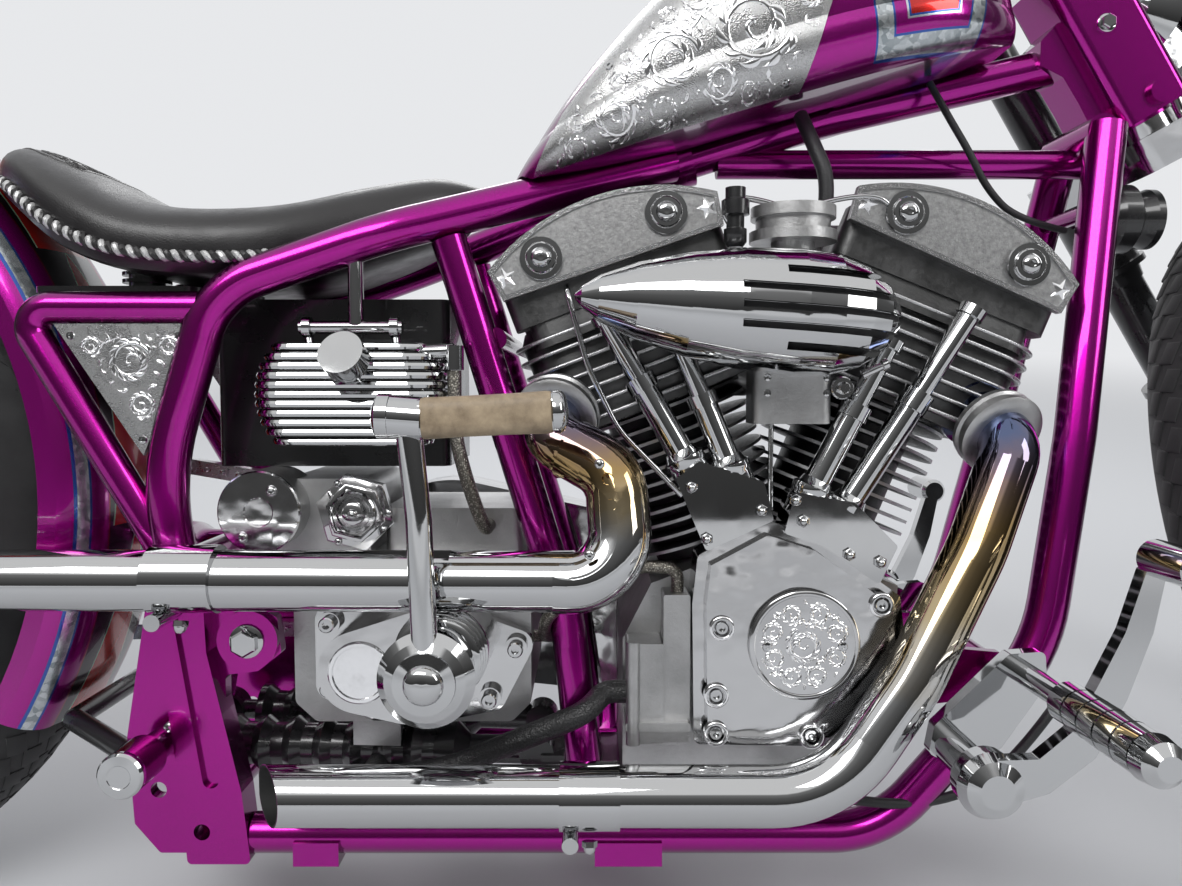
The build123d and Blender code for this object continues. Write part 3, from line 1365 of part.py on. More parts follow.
with BuildPart() as headlamp:
    add(turned((lamp_x - 70, 0, lamp_z), (1, 0, 0),
               [(0, 14), (8, 34), (26, 56), (52, 69), (74, lamp_r), (92, lamp_r + 3), (98, lamp_r + 1)]))
    add(turned((lamp_x + 27, 0, lamp_z), (1, 0, 0), [(0, lamp_r - 5), (2, lamp_r - 5), (8, 52), (11, 24)]))
    add(rod(fork_point(fork_offset + 34, 0, 1.5), (lamp_x - 4, 0, lamp_z - 60), 9))
pieces["headlamp"] = headlamp

# Parked: the steering lies on its left stop, which lowers the nose a little, and the machine leans
steering_axis = Axis(fork_plane.origin, fork_plane.z_dir)
steered = ["front_tyre", "front_rim", "front_disc", "triple_trees", "fork_legs", "front_axle", "handlebar", "grips",
           "headlamp"]
turned_tyre = front_tyre.part.rotate(steering_axis, parked_turn)
nose_down = 0.0
for attempt in range(3):
    attitude = Location((0, 0, 0), (1, 0, 0), -lean_angle) * Location((0, 0, 0), (0, 1, 0), nose_down)
    rear_foot = rear_tyre.part.moved(attitude).bounding_box().min.Z
    front_foot = turned_tyre.moved(attitude).bounding_box().min.Z
    nose_down += degrees(atan((front_foot - rear_foot) / (front_axle_x - rear_axle_x)))
attitude = Location((0, 0, 0), (1, 0, 0), -lean_angle) * Location((0, 0, 0), (0, 1, 0), nose_down)
rear_foot = rear_tyre.part.moved(attitude).bounding_box().min.Z

# Side stand
leg_length = 186.0
leg_direction = Vector(0.30, 0.84, -0.45).normalized()
ground_drop = 0.5
sole_long = 64.0
sole_wide = 40.0

with BuildPart() as side_stand:
    pivot = Vector(stand_x, stand_y, stand_z)
    foot = pivot + leg_direction * leg_length
    with BuildSketch(stand_plane.offset(-stand_boss_half)):
        Circle(stand_boss_r)
    extrude(amount=2 * stand_boss_half)
    add(rod(pivot, foot, 9))
    parked_foot = (attitude * Location(foot)).position
    upright = attitude.inverse()
    sole_origin = (upright * Location((parked_foot.X, parked_foot.Y, rear_foot - ground_drop))).position
    sole_normal = (upright * Location((parked_foot.X, parked_foot.Y, rear_foot - ground_drop + 1))).position - sole_origin
    sole = Plane(origin=sole_origin, x_dir=(1, 0, 0), z_dir=sole_normal)
    with BuildSketch(sole):
        RectangleRounded(sole_long, sole_wide, 16)
    extrude(amount=7)
    with BuildSketch(sole):
        Circle(13)
    extrude(amount=16)
    with BuildSketch(sole):
        Rectangle(200, 200)
    extrude(amount=-40, mode=Mode.SUBTRACT)
    with BuildSketch(stand_plane.offset(-stand_boss_half - 1)):
        Circle(stand_pin_r + running_gap)
    extrude(amount=2 * stand_boss_half + 2, mode=Mode.SUBTRACT)
pieces["side_stand"] = side_stand

# Set down as parked, with the origin at the middle of the footprint
parts = {}
for name, builder in pieces.items():
    part = builder.part
    parts[name] = part.rotate(steering_axis, parked_turn) if name in steered else part
boxes = [part.moved(attitude).bounding_box() for part in parts.values()]
low = [min(box.min.X for box in boxes), min(box.min.Y for box in boxes), min(box.min.Z for box in boxes)]
high = [max(box.max.X for box in boxes), max(box.max.Y for box in boxes), max(box.max.Z for box in boxes)]
shift = Vector(-(low[0] + high[0]) / 2, -(low[1] + high[1]) / 2, -low[2])
parked = Location(shift) * attitude

for name, part in parts.items():
    placed = part.moved(parked)
    placed.label = name
    export_step(placed, f"parts/{name}.step")

print("nose_down", nose_down, "shift", shift)
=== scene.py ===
"""Looks of the chopper motorcycle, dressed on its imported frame."""

import json
import math
import random

import bmesh
import bpy
from mathutils import Matrix, Vector
from mathutils.bvhtree import BVHTree


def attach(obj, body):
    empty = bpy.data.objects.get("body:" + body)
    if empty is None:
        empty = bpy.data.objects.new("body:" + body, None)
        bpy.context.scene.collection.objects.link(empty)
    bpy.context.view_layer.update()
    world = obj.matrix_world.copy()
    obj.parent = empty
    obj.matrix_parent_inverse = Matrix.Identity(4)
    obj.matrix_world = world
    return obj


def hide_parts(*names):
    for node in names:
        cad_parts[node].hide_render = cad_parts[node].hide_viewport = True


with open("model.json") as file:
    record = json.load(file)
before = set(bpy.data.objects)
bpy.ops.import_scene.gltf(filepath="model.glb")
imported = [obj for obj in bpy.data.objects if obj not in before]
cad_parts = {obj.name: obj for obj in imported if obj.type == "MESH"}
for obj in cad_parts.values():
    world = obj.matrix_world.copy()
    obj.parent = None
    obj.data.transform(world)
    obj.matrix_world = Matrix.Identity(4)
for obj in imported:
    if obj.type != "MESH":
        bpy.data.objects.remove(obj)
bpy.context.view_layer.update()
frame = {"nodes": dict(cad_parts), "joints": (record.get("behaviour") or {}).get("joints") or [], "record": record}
nodes = frame["nodes"]
joints = {joint["name"]: joint for joint in frame["joints"]}
stage_scene = bpy.context.scene

# Where the machine stands. It is drawn upright from the crankshaft, x forward and y to the left, and set down
# as the wheel's and the steering's axes say; the steering lies on its left stop.
REAR_AXLE = Vector((-0.915, 0.0, 0.335))
STEM_FOOT = Vector((0.334, 0.0, 0.701))
RAKE = math.radians(31)
STEERED_BY = math.radians(35)
across = Vector(joints["rear_wheel_spin"]["axis"]).normalized()
stem = Vector(joints["steering_turn"]["axis"]).normalized()
ahead = across.cross(stem).normalized()
x_axis = math.cos(RAKE) * ahead - math.sin(RAKE) * stem
z_axis = math.sin(RAKE) * ahead + math.cos(RAKE) * stem
upright = Matrix((x_axis, across, z_axis)).transposed()
PARKED = Matrix.Translation(Vector(joints["rear_wheel_spin"]["pos_m"]) - upright @ REAR_AXLE) @ upright.to_4x4()
STEM_LINE = Vector((-math.sin(RAKE), 0, math.cos(RAKE)))
STEERED = (PARKED @ Matrix.Translation(STEM_FOOT) @ Matrix.Rotation(STEERED_BY, 4, STEM_LINE)
           @ Matrix.Translation(-STEM_FOOT))
TO_MACHINE = PARKED.inverted()

# Camera
FOCAL_PIXELS = 900.0
IMAGE_WIDTH = 1182.0
SENSOR = 36.0
CAMERA_PLACE = Vector((-0.149, -0.810, 0.468))
CAMERA_PITCH = math.radians(3.5)
camera_data = bpy.data.cameras.new("camera")
camera_data.sensor_width = SENSOR
camera_data.lens = SENSOR * FOCAL_PIXELS / IMAGE_WIDTH
camera_data.clip_start = 0.02
camera = bpy.data.objects.new("camera", camera_data)
stage_scene.collection.objects.link(camera)
camera.matrix_world = PARKED @ Matrix.Translation(CAMERA_PLACE) @ Matrix.Rotation(math.pi / 2 - CAMERA_PITCH, 4, "X")
stage_scene.camera = camera

# Studio: a pale floor, a pale surround and large soft lamps
PALE = (0.80, 0.81, 0.83, 1.0)


def node(tree, kind, inputs=None, **settings):
    """A node, its settings and its inputs, each a value or another node's socket."""
    made = tree.nodes.new(kind if "Node" in kind else "ShaderNode" + kind)
    for key, value in settings.items():
        setattr(made, key, value)
    for key, value in (inputs or {}).items():
        socket = made.inputs[key]
        if isinstance(value, bpy.types.NodeSocket):
            tree.links.new(value, socket)
        else:
            socket.default_value = value
    return made


def calc(tree, operation, first, second=0.0, third=0.0):
    """One step of arithmetic on sockets or numbers."""
    return node(tree, "Math", {0: first, 1: second, 2: third}, operation=operation).outputs["Value"]


def ramp(tree, factor, stops):
    """A colour ramp; each stop is (position, grey or colour)."""
    made = node(tree, "ValToRGB", {"Fac": factor})
    elements = made.color_ramp.elements
    while len(elements) < len(stops):
        elements.new(0.5)
    for element, (position, colour) in zip(elements, stops):
        element.position = position
        shade = (colour,) * 3 if isinstance(colour, float) else colour
        element.color = (*shade[:3], 1.0)
    return made.outputs["Color"]


def build_world():
    world = bpy.data.worlds.new("studio")
    stage_scene.world = world
    world.use_nodes = True
    tree = world.node_tree
    tree.nodes.clear()
    output = node(tree, "OutputWorld")
    direction = node(tree, "TexCoord").outputs["Generated"]
    parts = node(tree, "SeparateXYZ", {"Vector": direction})
    height = node(tree, "MapRange", {"Value": parts.outputs["Z"], "From Min": -1.0, "From Max": 1.0})
    # a dim room in front under a soft bright ceiling, and the pale backdrop behind
    room = ramp(tree, height.outputs["Result"],
                [(0.0, 0.10), (0.47, 0.04), (0.52, 0.06), (0.68, 0.14), (0.77, 0.26), (0.80, 0.92)])
    backdrop = node(tree, "MapRange", {"Value": parts.outputs["Y"], "From Min": 0.10, "From Max": 0.45})
    lit = node(tree, "MixRGB", {"Fac": backdrop.outputs["Result"], "Color1": room, "Color2": PALE})
    rays = node(tree, "LightPath")
    seen = node(tree, "MixRGB", {"Fac": rays.outputs["Is Camera Ray"], "Color1": lit.outputs["Color"], "Color2": PALE})
    light = node(tree, "Background", {"Color": seen.outputs["Color"], "Strength": 1.0})
    tree.links.new(light.outputs["Background"], output.inputs["Surface"])


def soft_lamp(name, place, aim, size, watts):
    data = bpy.data.lights.new(name, "AREA")
    data.shape = "RECTANGLE"
    data.size, data.size_y = size
    data.energy = watts
    lamp = bpy.data.objects.new(name, data)
    stage_scene.collection.objects.link(lamp)
    lamp.location = place
    lamp.rotation_euler = (Vector(aim) - Vector(place)).to_track_quat("-Z", "Y").to_euler()


def build_floor():
    mesh = bpy.data.meshes.new("floor")
    shape = bmesh.new()
    bmesh.ops.create_circle(shape, cap_ends=True, segments=96, radius=16.0)
    shape.to_mesh(mesh)
    shape.free()
    floor = bpy.data.objects.new("floor", mesh)
    stage_scene.collection.objects.link(floor)
    floor_paint = bpy.data.materials.new("floor_paint")
    floor_paint.use_nodes = True
    tree = floor_paint.node_tree
    shader = tree.nodes["Principled BSDF"]
    shader.inputs["Base Color"].default_value = (0.54, 0.55, 0.57, 1.0)
    shader.inputs["Roughness"].default_value = 0.75
    # far off, the floor runs into the backdrop
    far = node(tree, "VectorMath", {0: node(tree, "TexCoord").outputs["Object"]}, operation="LENGTH").outputs["Value"]
    fade = node(tree, "MapRange", {"Value": far, "From Min": 2.2, "From Max": 6.5},
                interpolation_type="SMOOTHSTEP").outputs["Result"]
    rays = node(tree, "LightPath").outputs
    seen = calc(tree, "MAXIMUM", rays["Is Camera Ray"], rays["Is Glossy Ray"])
    share = calc(tree, "MULTIPLY", fade, calc(tree, "MAXIMUM", seen, rays["Is Transmission Ray"]))
    glow = node(tree, "Emission", {"Color": PALE, "Strength": 1.0}).outputs["Emission"]
    mixed = node(tree, "MixShader", {0: share, 1: shader.outputs["BSDF"], 2: glow})
    tree.links.new(mixed.outputs["Shader"], tree.nodes["Material Output"].inputs["Surface"])
    mesh.materials.append(floor_paint)


build_world()
build_floor()
soft_lamp("key_lamp", (-0.9, -2.0, 2.6), (0.0, 0.0, 0.4), (2.4, 1.0), 50)
soft_lamp("fill_lamp", (2.4, -1.4, 1.9), (0.1, 0.0, 0.4), (0.9, 1.6), 22)
soft_lamp("back_lamp", (0.2, 2.6, 2.4), (0.0, 0.0, 0.4), (2.6, 1.0), 30)
stage_scene.view_settings.view_transform = "Standard"


# Finishes
def finish_of(name, colour, metallic=0.0, roughness=0.5, coat=0.0, coat_roughness=0.03, sheen=0.0):
    """A material with its fixed values; returns it, its tree and its shader."""
    made = bpy.data.materials.new(name)
    made.use_nodes = True
    tree = made.node_tree
    shader = tree.nodes["Principled BSDF"]
    shader.inputs["Base Color"].default_value = (*colour, 1.0)
    shader.inputs["Metallic"].default_value = metallic
    shader.inputs["Roughness"].default_value = roughness
    shader.inputs["Coat Weight"].default_value = coat
    shader.inputs["Coat Roughness"].default_value = coat_roughness
    shader.inputs["Sheen Weight"].default_value = sheen
    return made, tree, shader


def noise(tree, scale, detail=4.0, roughness=0.55, stretch=(1, 1, 1)):
    """Noise over the object's own coordinates."""
    place = node(tree, "TexCoord").outputs["Object"]
    spread = node(tree, "Mapping", {"Vector": place, "Scale": stretch})
    made = node(tree, "TexNoise", {"Vector": spread.outputs["Vector"], "Scale": scale, "Detail": detail,
                                   "Roughness": roughness})
    return made.outputs["Fac"]


def bump(tree, shader, height, strength, distance=0.0005):
    made = node(tree, "Bump", {"Height": height, "Strength": strength, "Distance": distance})
    tree.links.new(made.outputs["Normal"], shader.inputs["Normal"])


def vary(tree, shader, socket, factor, low, high):
    """Links a socket to a value that runs between two limits."""
    made = node(tree, "MapRange", {"Value": factor, "From Min": 0.3, "From Max": 0.7, "To Min": low, "To Max": high})
    tree.links.new(made.outputs["Result"], shader.inputs[socket])


def on_machine(tree):
    """Where the surface lies on the upright machine, in millimetres."""
    place = node(tree, "TexCoord").outputs["Object"]
    turned = node(tree, "Mapping", {"Vector": place, "Location": TO_MACHINE.to_translation(),
                                    "Rotation": TO_MACHINE.to_euler()})
    split = node(tree, "SeparateXYZ", {"Vector": turned.outputs["Vector"]})
    return [calc(tree, "MULTIPLY", split.outputs[axis], 1000.0) for axis in "XYZ"]


def within(tree, value, low, high):
    """1 between two limits, 0 outside."""
    return calc(tree, "COMPARE", value, (low + high) / 2, (high - low) / 2)


def overlaid(tree, base, layers):
    """Base colour with each (factor, colour) painted over it in turn."""
    for factor, colour in layers:
        shade = colour if isinstance(colour, bpy.types.NodeSocket) else (*colour, 1.0)
        base = node(tree, "MixRGB", {"Fac": factor, "Color1": base, "Color2": shade}).outputs["Color"]
    return base


# Plain finishes. Columns: colour, metallic, roughness, coat, sheen; the noise behind the shade with its two colours,
# behind the roughness with its limits, and behind the bump with its strength and depth
PLAIN = {
    "chrome": ((0.55, 0.555, 0.56), 1.0, 0.05, 0.0, 0.0, None, ((35.0, 5.0), 0.025, 0.075), ((14.0, 2.0), 0.04, 0.001)),
    "polished_aluminium": ((0.60, 0.60, 0.605), 1.0, 0.12, 0.0, 0.0, None,
                           ((45.0, 6.0), 0.06, 0.15), ((16.0, 2.5), 0.45, 0.006)),
    # the cut edges and the raised scrolls
    "bright_aluminium": ((0.90, 0.90, 0.91), 1.0, 0.16, 0.0, 0.0, None,
                         ((300.0, 4.0), 0.12, 0.22), ((700.0, 3.0), 0.10, 0.0003)),
    "cast_aluminium": ((0.50, 0.50, 0.51), 1.0, 0.38, 0.0, 0.0, ((22.0, 4.0), 0.42, 0.62),
                       ((420.0, 6.0, 0.7), 0.30, 0.48), ((420.0, 6.0, 0.7), 0.45, 0.0006)),
    # the rocker boxes: a dark grey casting, made darker still with painted shade under their bright plates
    "dark_cast_painted_shade": ((0.10, 0.10, 0.105), 0.9, 0.40, 0.0, 0.0, ((30.0, 5.0), 0.07, 0.15),
                  ((200.0,), 0.32, 0.50), ((420.0, 6.0, 0.7), 0.4, 0.0005)),
    "black_metal": ((0.012, 0.012, 0.013), 0.0, 0.28, 0.6, 0.0, None,
                    ((30.0, 4.0), 0.20, 0.38), ((240.0, 3.0), 0.08, 0.0004)),
    "black_cast": ((0.022, 0.022, 0.024), 0.3, 0.42, 0.0, 0.0, None,
                   ((500.0, 5.0, 0.7), 0.34, 0.55), ((500.0, 5.0, 0.7), 0.35, 0.0005)),
    # the kick pedal's sleeve, polished brown by boots
    "worn_tan": ((0.30, 0.22, 0.14), 0.0, 0.5, 0.0, 0.0, ((55.0, 6.0, 0.65), (0.17, 0.125, 0.08), (0.42, 0.33, 0.22)),
                 ((55.0, 6.0, 0.65), 0.40, 0.62), ((320.0, 5.0), 0.3, 0.0006)),
    "tyre_rubber": ((0.014, 0.014, 0.015), 0.0, 0.72, 0.0, 0.1, None,
                    ((24.0, 5.0), 0.60, 0.85), ((380.0, 5.0, 0.7), 0.3, 0.0005)),
    "grip_rubber": ((0.02, 0.02, 0.02), 0.0, 0.62, 0.0, 0.0, None, ((30.0,), 0.52, 0.72), ((600.0, 3.0), 0.4, 0.0005)),
    "silver_thread": ((0.60, 0.60, 0.62), 0.6, 0.40, 0.0, 0.0, ((1500.0, 3.0), 0.42, 0.74),
                      ((90.0,), 0.32, 0.5), ((1500.0, 3.0), 0.4, 0.0003)),
    "plate_enamel": ((0.72, 0.72, 0.70), 0.0, 0.35, 0.4, 0.0, ((18.0, 5.0), (0.64, 0.64, 0.61), (0.76, 0.76, 0.74)),
                     ((40.0,), 0.28, 0.44), None)}


def plain_finish(name):
    colour, metallic, roughness, coat, sheen, shade, rough, grain = PLAIN[name]
    made, tree, shader = finish_of(name, colour, metallic, roughness, coat, sheen=sheen)
    if shade:
        source, low, high = shade
        tree.links.new(ramp(tree, noise(tree, *source), [(0.3, low), (0.7, high)]), shader.inputs["Base Color"])
    source, low, high = rough
    vary(tree, shader, "Roughness", noise(tree, *source), low, high)
    if grain:
        source, strength, depth = grain
        bump(tree, shader, noise(tree, *source), strength, depth)
    return made


def candy_colour(tree):
    """Magenta candy: bright where it faces, plum at the edges, with a fine flake."""
    facing = node(tree, "LayerWeight", {"Blend": 0.35}).outputs["Facing"]
    body = ramp(tree, facing, [(0.0, (0.46, 0.002, 0.31)), (0.35, (0.27, 0.0015, 0.185)), (0.75, (0.075, 0.001, 0.058)),
                               (1.0, (0.025, 0.001, 0.026))])
    flake = ramp(tree, noise(tree, 2600.0, 1.0), [(0.35, 0.80), (0.70, 1.25)])
    return node(tree, "MixRGB", {"Fac": 1.0, "Color1": body, "Color2": flake}, blend_type="MULTIPLY").outputs["Color"]


def silver_leaf(tree):
    """Crumpled silver leaf under the lacquer."""
    place = node(tree, "TexCoord").outputs["Object"]
    cells = node(tree, "TexVoronoi", {"Vector": place, "Scale": 220.0}).outputs["Color"]
    grey = node(tree, "RGBToBW", {"Color": cells}).outputs["Val"]
    return ramp(tree, grey, [(0.2, (0.30, 0.34, 0.36)), (0.8, (0.66, 0.70, 0.72))])


def candy_paint():
    made, tree, shader = finish_of("candy_paint", (0.42, 0.012, 0.33), 0.95, 0.20, coat=0.6)
    tree.links.new(candy_colour(tree), shader.inputs["Base Color"])
    bump(tree, shader, noise(tree, 9.0, 2.0), 0.05, 0.002)
    return made


BLUE_LINE = (0.03, 0.10, 0.42)
DARK_RED = (0.30, 0.01, 0.02)
SCALLOP_RED = (0.50, 0.015, 0.012)
LACQUER_BLACK = (0.006, 0.006, 0.007)
FENDER_CENTRE = (-958.0, 379.0)


def fender_paint():
    """Candy with silver-leaf bands between blue lines, and red scallops on a black crown."""
    made, tree, shader = finish_of("fender_paint", (0.42, 0.012, 0.33), 0.70, 0.22, coat=0.8)
    x, y, z = on_machine(tree)
    side = calc(tree, "ABSOLUTE", y)
    turn = calc(tree, "ARCTAN2", calc(tree, "SUBTRACT", z, FENDER_CENTRE[1]),
                calc(tree, "SUBTRACT", x, FENDER_CENTRE[0]))
    wave = calc(tree, "FRACT", calc(tree, "MULTIPLY", calc(tree, "ADD", turn, 3.2), 1.6))
    reach = calc(tree, "MULTIPLY", calc(tree, "POWER", calc(tree, "SUBTRACT", 1.0, wave), 0.6), 38.0)
    inside = calc(tree, "SUBTRACT", reach, side)
    crown = within(tree, side, 0, 42.5)
    scallop = calc(tree, "MULTIPLY", crown, calc(tree, "GREATER_THAN", inside, 1.6))
    line = calc(tree, "MULTIPLY", crown, within(tree, inside, 0.0, 1.6))
    colour = overlaid(tree, candy_colour(tree), [
        (within(tree, side, 62.0, 69.0), silver_leaf(tree)),
        (within(tree, side, 69.0, 70.6), BLUE_LINE), (within(tree, side, 60.4, 62.0), BLUE_LINE),
        (crown, LACQUER_BLACK), (within(tree, side, 42.5, 44.2), DARK_RED),
        (scallop, SCALLOP_RED), (line, (0.35, 0.62, 0.42))])
    tree.links.new(colour, shader.inputs["Base Color"])
    metal = calc(tree, "SUBTRACT", 0.78, calc(tree, "MULTIPLY", crown, 0.6))
    tree.links.new(metal, shader.inputs["Metallic"])
    bump(tree, shader, noise(tree, 9.0, 2.0), 0.05, 0.002)
    return made


def tank_paint():
    """Candy with a framed panel of silver leaf, magenta and red on each flank."""
    made, tree, shader = finish_of("tank_paint", (0.42, 0.012, 0.33), 0.88, 0.22, coat=0.8)
    x, y, z = on_machine(tree)
    ahead_of = calc(tree, "SUBTRACT", x, 108.0)
    above = calc(tree, "SUBTRACT", z, calc(tree, "ADD", 782.0, calc(tree, "MULTIPLY", ahead_of, 0.20)))
    wide = calc(tree, "SUBTRACT", calc(tree, "ABSOLUTE", ahead_of),
                calc(tree, "ADD", 50.0, calc(tree, "MULTIPLY", above, 0.12)))
    tall = calc(tree, "SUBTRACT", calc(tree, "ABSOLUTE", above), 60.0)
    edge = calc(tree, "MAXIMUM", wide, tall)
    colour = overlaid(tree, candy_colour(tree), [
        (within(tree, edge, -13.5, -1.6), silver_leaf(tree)),
        (within(tree, edge, -1.6, 0.0), BLUE_LINE), (within(tree, edge, -15.1, -13.5), BLUE_LINE),
        (within(tree, edge, -25.5, -24.0), (0.62, 0.66, 0.70)), (within(tree, edge, -27.0, -25.5), BLUE_LINE),
        (within(tree, edge, -90.0, -27.0), SCALLOP_RED)])
    tree.links.new(colour, shader.inputs["Base Color"])
    bump(tree, shader, noise(tree, 9.0, 2.0), 0.05, 0.002)
    return made


# x, y and z of the air cleaner's front and its slope
AIR_CLEANER = (-161.0, -138.0, 536.0, -0.075)
# columns: height of a louvre from the air cleaner's axis, how far along it starts
LOUVRES = [(27.0, 150.0), (13.5, 118.0), (0.0, 118.0), (-13.5, 118.0), (-27.0, 150.0)]


# half the height of the painted shade in each louvre
LOUVRE_HALF = 2.6


def chrome_with_painted_louvre_shade():
    """Chrome with painted shade: black down in the air cleaner's louvres, where shade falls."""
    made, tree, shader = finish_of("chrome_with_painted_louvre_shade", (0.55, 0.555, 0.56), 1.0, 0.05)
    x, y, z = on_machine(tree)
    along = calc(tree, "SUBTRACT", x, AIR_CLEANER[0])
    height = calc(tree, "SUBTRACT", calc(tree, "SUBTRACT", z, AIR_CLEANER[2]),
                  calc(tree, "MULTIPLY", along, AIR_CLEANER[3]))
    outside = calc(tree, "LESS_THAN", y, AIR_CLEANER[1])
    # painted shade: a black band down in each louvre groove
    dark = None
    for level, start in LOUVRES:
        slot = calc(tree, "MULTIPLY", within(tree, height, level - LOUVRE_HALF, level + LOUVRE_HALF),
                    calc(tree, "GREATER_THAN", along, start))
        dark = slot if dark is None else calc(tree, "MAXIMUM", dark, slot)
    dark = calc(tree, "MULTIPLY", dark, outside)
    shade = overlaid(tree, (0.55, 0.555, 0.56, 1.0), [(dark, (0.012, 0.012, 0.013))])
    tree.links.new(shade, shader.inputs["Base Color"])
    tree.links.new(calc(tree, "SUBTRACT", 1.0, dark), shader.inputs["Metallic"])
    tree.links.new(calc(tree, "ADD", 0.05, calc(tree, "MULTIPLY", dark, 0.55)), shader.inputs["Roughness"])
    bump(tree, shader, noise(tree, 14.0, 2.0), 0.04, 0.001)
    return made


# columns: y and z of a pipe's last straight
PIPE_ENDS = [(-162.0, 167.0), (-165.0, 329.0)]
PIPE_INSIDE = 21.6


def pipe_chrome():
    """Chrome that the exhaust's heat has turned straw and blue near the ports, and black inside the pipe ends."""
    made, tree, shader = finish_of("pipe_chrome", (0.55, 0.555, 0.56), 1.0, 0.05)
    x, y, z = on_machine(tree)
    front = node(tree, "MapRange", {"Value": z, "From Min": 225.0, "From Max": 440.0})
    front = calc(tree, "MULTIPLY", front.outputs["Result"], calc(tree, "GREATER_THAN", x, 40.0))
    rear = node(tree, "MapRange", {"Value": z, "From Min": 350.0, "From Max": 452.0})
    rear = calc(tree, "MULTIPLY", rear.outputs["Result"], calc(tree, "LESS_THAN", x, 0.0))
    heat = calc(tree, "ADD", calc(tree, "MAXIMUM", front, rear),
                calc(tree, "MULTIPLY", calc(tree, "SUBTRACT", noise(tree, 22.0), 0.5), 0.35))
    tint = ramp(tree, heat, [(0.08, (0.55, 0.555, 0.56)), (0.34, (0.50, 0.41, 0.26)), (0.62, (0.40, 0.27, 0.12)),
                             (0.82, (0.22, 0.16, 0.18)), (1.0, (0.12, 0.15, 0.26))])
    # black inside the ends of the pipes
    inner = None
    for axis_y, axis_z in PIPE_ENDS:
        reach = calc(tree, "SQRT", calc(tree, "ADD", calc(tree, "POWER", calc(tree, "SUBTRACT", y, axis_y), 2.0),
                                        calc(tree, "POWER", calc(tree, "SUBTRACT", z, axis_z), 2.0)))
        found = calc(tree, "LESS_THAN", reach, PIPE_INSIDE)
        inner = found if inner is None else calc(tree, "MAXIMUM", inner, found)
    inner = calc(tree, "MULTIPLY", inner, calc(tree, "LESS_THAN", x, -250.0))
    tree.links.new(overlaid(tree, tint, [(inner, (0.006, 0.006, 0.006))]), shader.inputs["Base Color"])
    tree.links.new(calc(tree, "SUBTRACT", 1.0, inner), shader.inputs["Metallic"])
    tree.links.new(calc(tree, "ADD", 0.05, calc(tree, "MULTIPLY", inner, 0.7)), shader.inputs["Roughness"])
    return made


# how far the sunk field of a rocker plate lies from the middle plane
PLATE_FIELD = 96.4


def rocker_plate():
    """Satin casting: a bright machined rim and caps round a grey sunk field."""
    made, tree, shader = finish_of("rocker_plate", (0.50, 0.50, 0.51), 1.0, 0.34)
    field = calc(tree, "LESS_THAN", calc(tree, "ABSOLUTE", on_machine(tree)[1]), PLATE_FIELD)
    grey = ramp(tree, noise(tree, 260.0, 6.0, 0.7), [(0.3, 0.28), (0.7, 0.50)])
    shade = overlaid(tree, (0.80, 0.80, 0.81, 1.0), [(field, grey)])
    tree.links.new(shade, shader.inputs["Base Color"])
    rough = calc(tree, "ADD", 0.20, calc(tree, "MULTIPLY", field, 0.22))
    tree.links.new(rough, shader.inputs["Roughness"])
    bump(tree, shader, noise(tree, 380.0, 6.0, 0.7), 0.5, 0.0006)
    return made


CRANK_Z = 221.0
CYLINDER_LEANS = (-20.8, 21.9)


def cylinder_edge(tree, reach_from):
    """How far the surface reaches out from the nearer cylinder's axis, by the measure given."""
    x, y, z = on_machine(tree)
    up = calc(tree, "SUBTRACT", z, CRANK_Z)
    found = None
    for lean_degrees in CYLINDER_LEANS:
        tilt = math.radians(lean_degrees)
        off = calc(tree, "SUBTRACT", calc(tree, "MULTIPLY", x, math.cos(tilt)),
                   calc(tree, "MULTIPLY", up, math.sin(tilt)))
        length = reach_from(tree, off, y)
        found = length if found is None else calc(tree, "MINIMUM", found, length)
    return found


def barrel_black():
    """Black barrels with the rims of their fins turned bright."""
    made, tree, shader = finish_of("barrel_black", (0.016, 0.016, 0.018), 0.0, 0.42)
    length = cylinder_edge(tree, lambda tree, off, y: calc(
        tree, "SQRT", calc(tree, "ADD", calc(tree, "POWER", off, 2.0), calc(tree, "POWER", y, 2.0))))
    rim = calc(tree, "GREATER_THAN", length, 74.3)
    tree.links.new(overlaid(tree, (0.014, 0.014, 0.016, 1.0), [(rim, (0.55, 0.55, 0.56))]), shader.inputs["Base Color"])
    tree.links.new(rim, shader.inputs["Metallic"])
    vary(tree, shader, "Roughness", noise(tree, 300.0, 5.0), 0.30, 0.48)
    bump(tree, shader, noise(tree, 500.0, 5.0, 0.7), 0.3, 0.0005)
    return made


def finned_head(name, half_length, half_width, corner):
    """Dark grey casting whose fins have polished rims, each a rounded oblong."""
    made, tree, shader = finish_of(name, (0.12, 0.12, 0.125), 0.9, 0.36)

    def past_corner(tree, off, y):
        over = calc(tree, "MAXIMUM", calc(tree, "SUBTRACT", calc(tree, "ABSOLUTE", off), half_length - corner), 0.0)
        out = calc(tree, "MAXIMUM", calc(tree, "SUBTRACT", calc(tree, "ABSOLUTE", y), half_width - corner), 0.0)
        return calc(tree, "SQRT", calc(tree, "ADD", calc(tree, "POWER", over, 2.0), calc(tree, "POWER", out, 2.0)))

    rim = calc(tree, "GREATER_THAN", cylinder_edge(tree, past_corner), corner - 1.2)
    shade = ramp(tree, noise(tree, 30.0, 4.0), [(0.3, 0.12), (0.7, 0.24)])
    tree.links.new(overlaid(tree, shade, [(rim, (0.55, 0.55, 0.56))]), shader.inputs["Base Color"])
    vary(tree, shader, "Roughness", noise(tree, 300.0, 5.0), 0.22, 0.40)
    bump(tree, shader, noise(tree, 420.0, 6.0, 0.7), 0.4, 0.0005)
    return made


def head_cast():
    return finned_head("head_cast", 84.0, 74.0, 34.0)


HEAD_FIN = (100.0, 88.0, 36.0)


def fin_cast():
    return finned_head("fin_cast", *HEAD_FIN)


BREATHER_TOP = 240.0


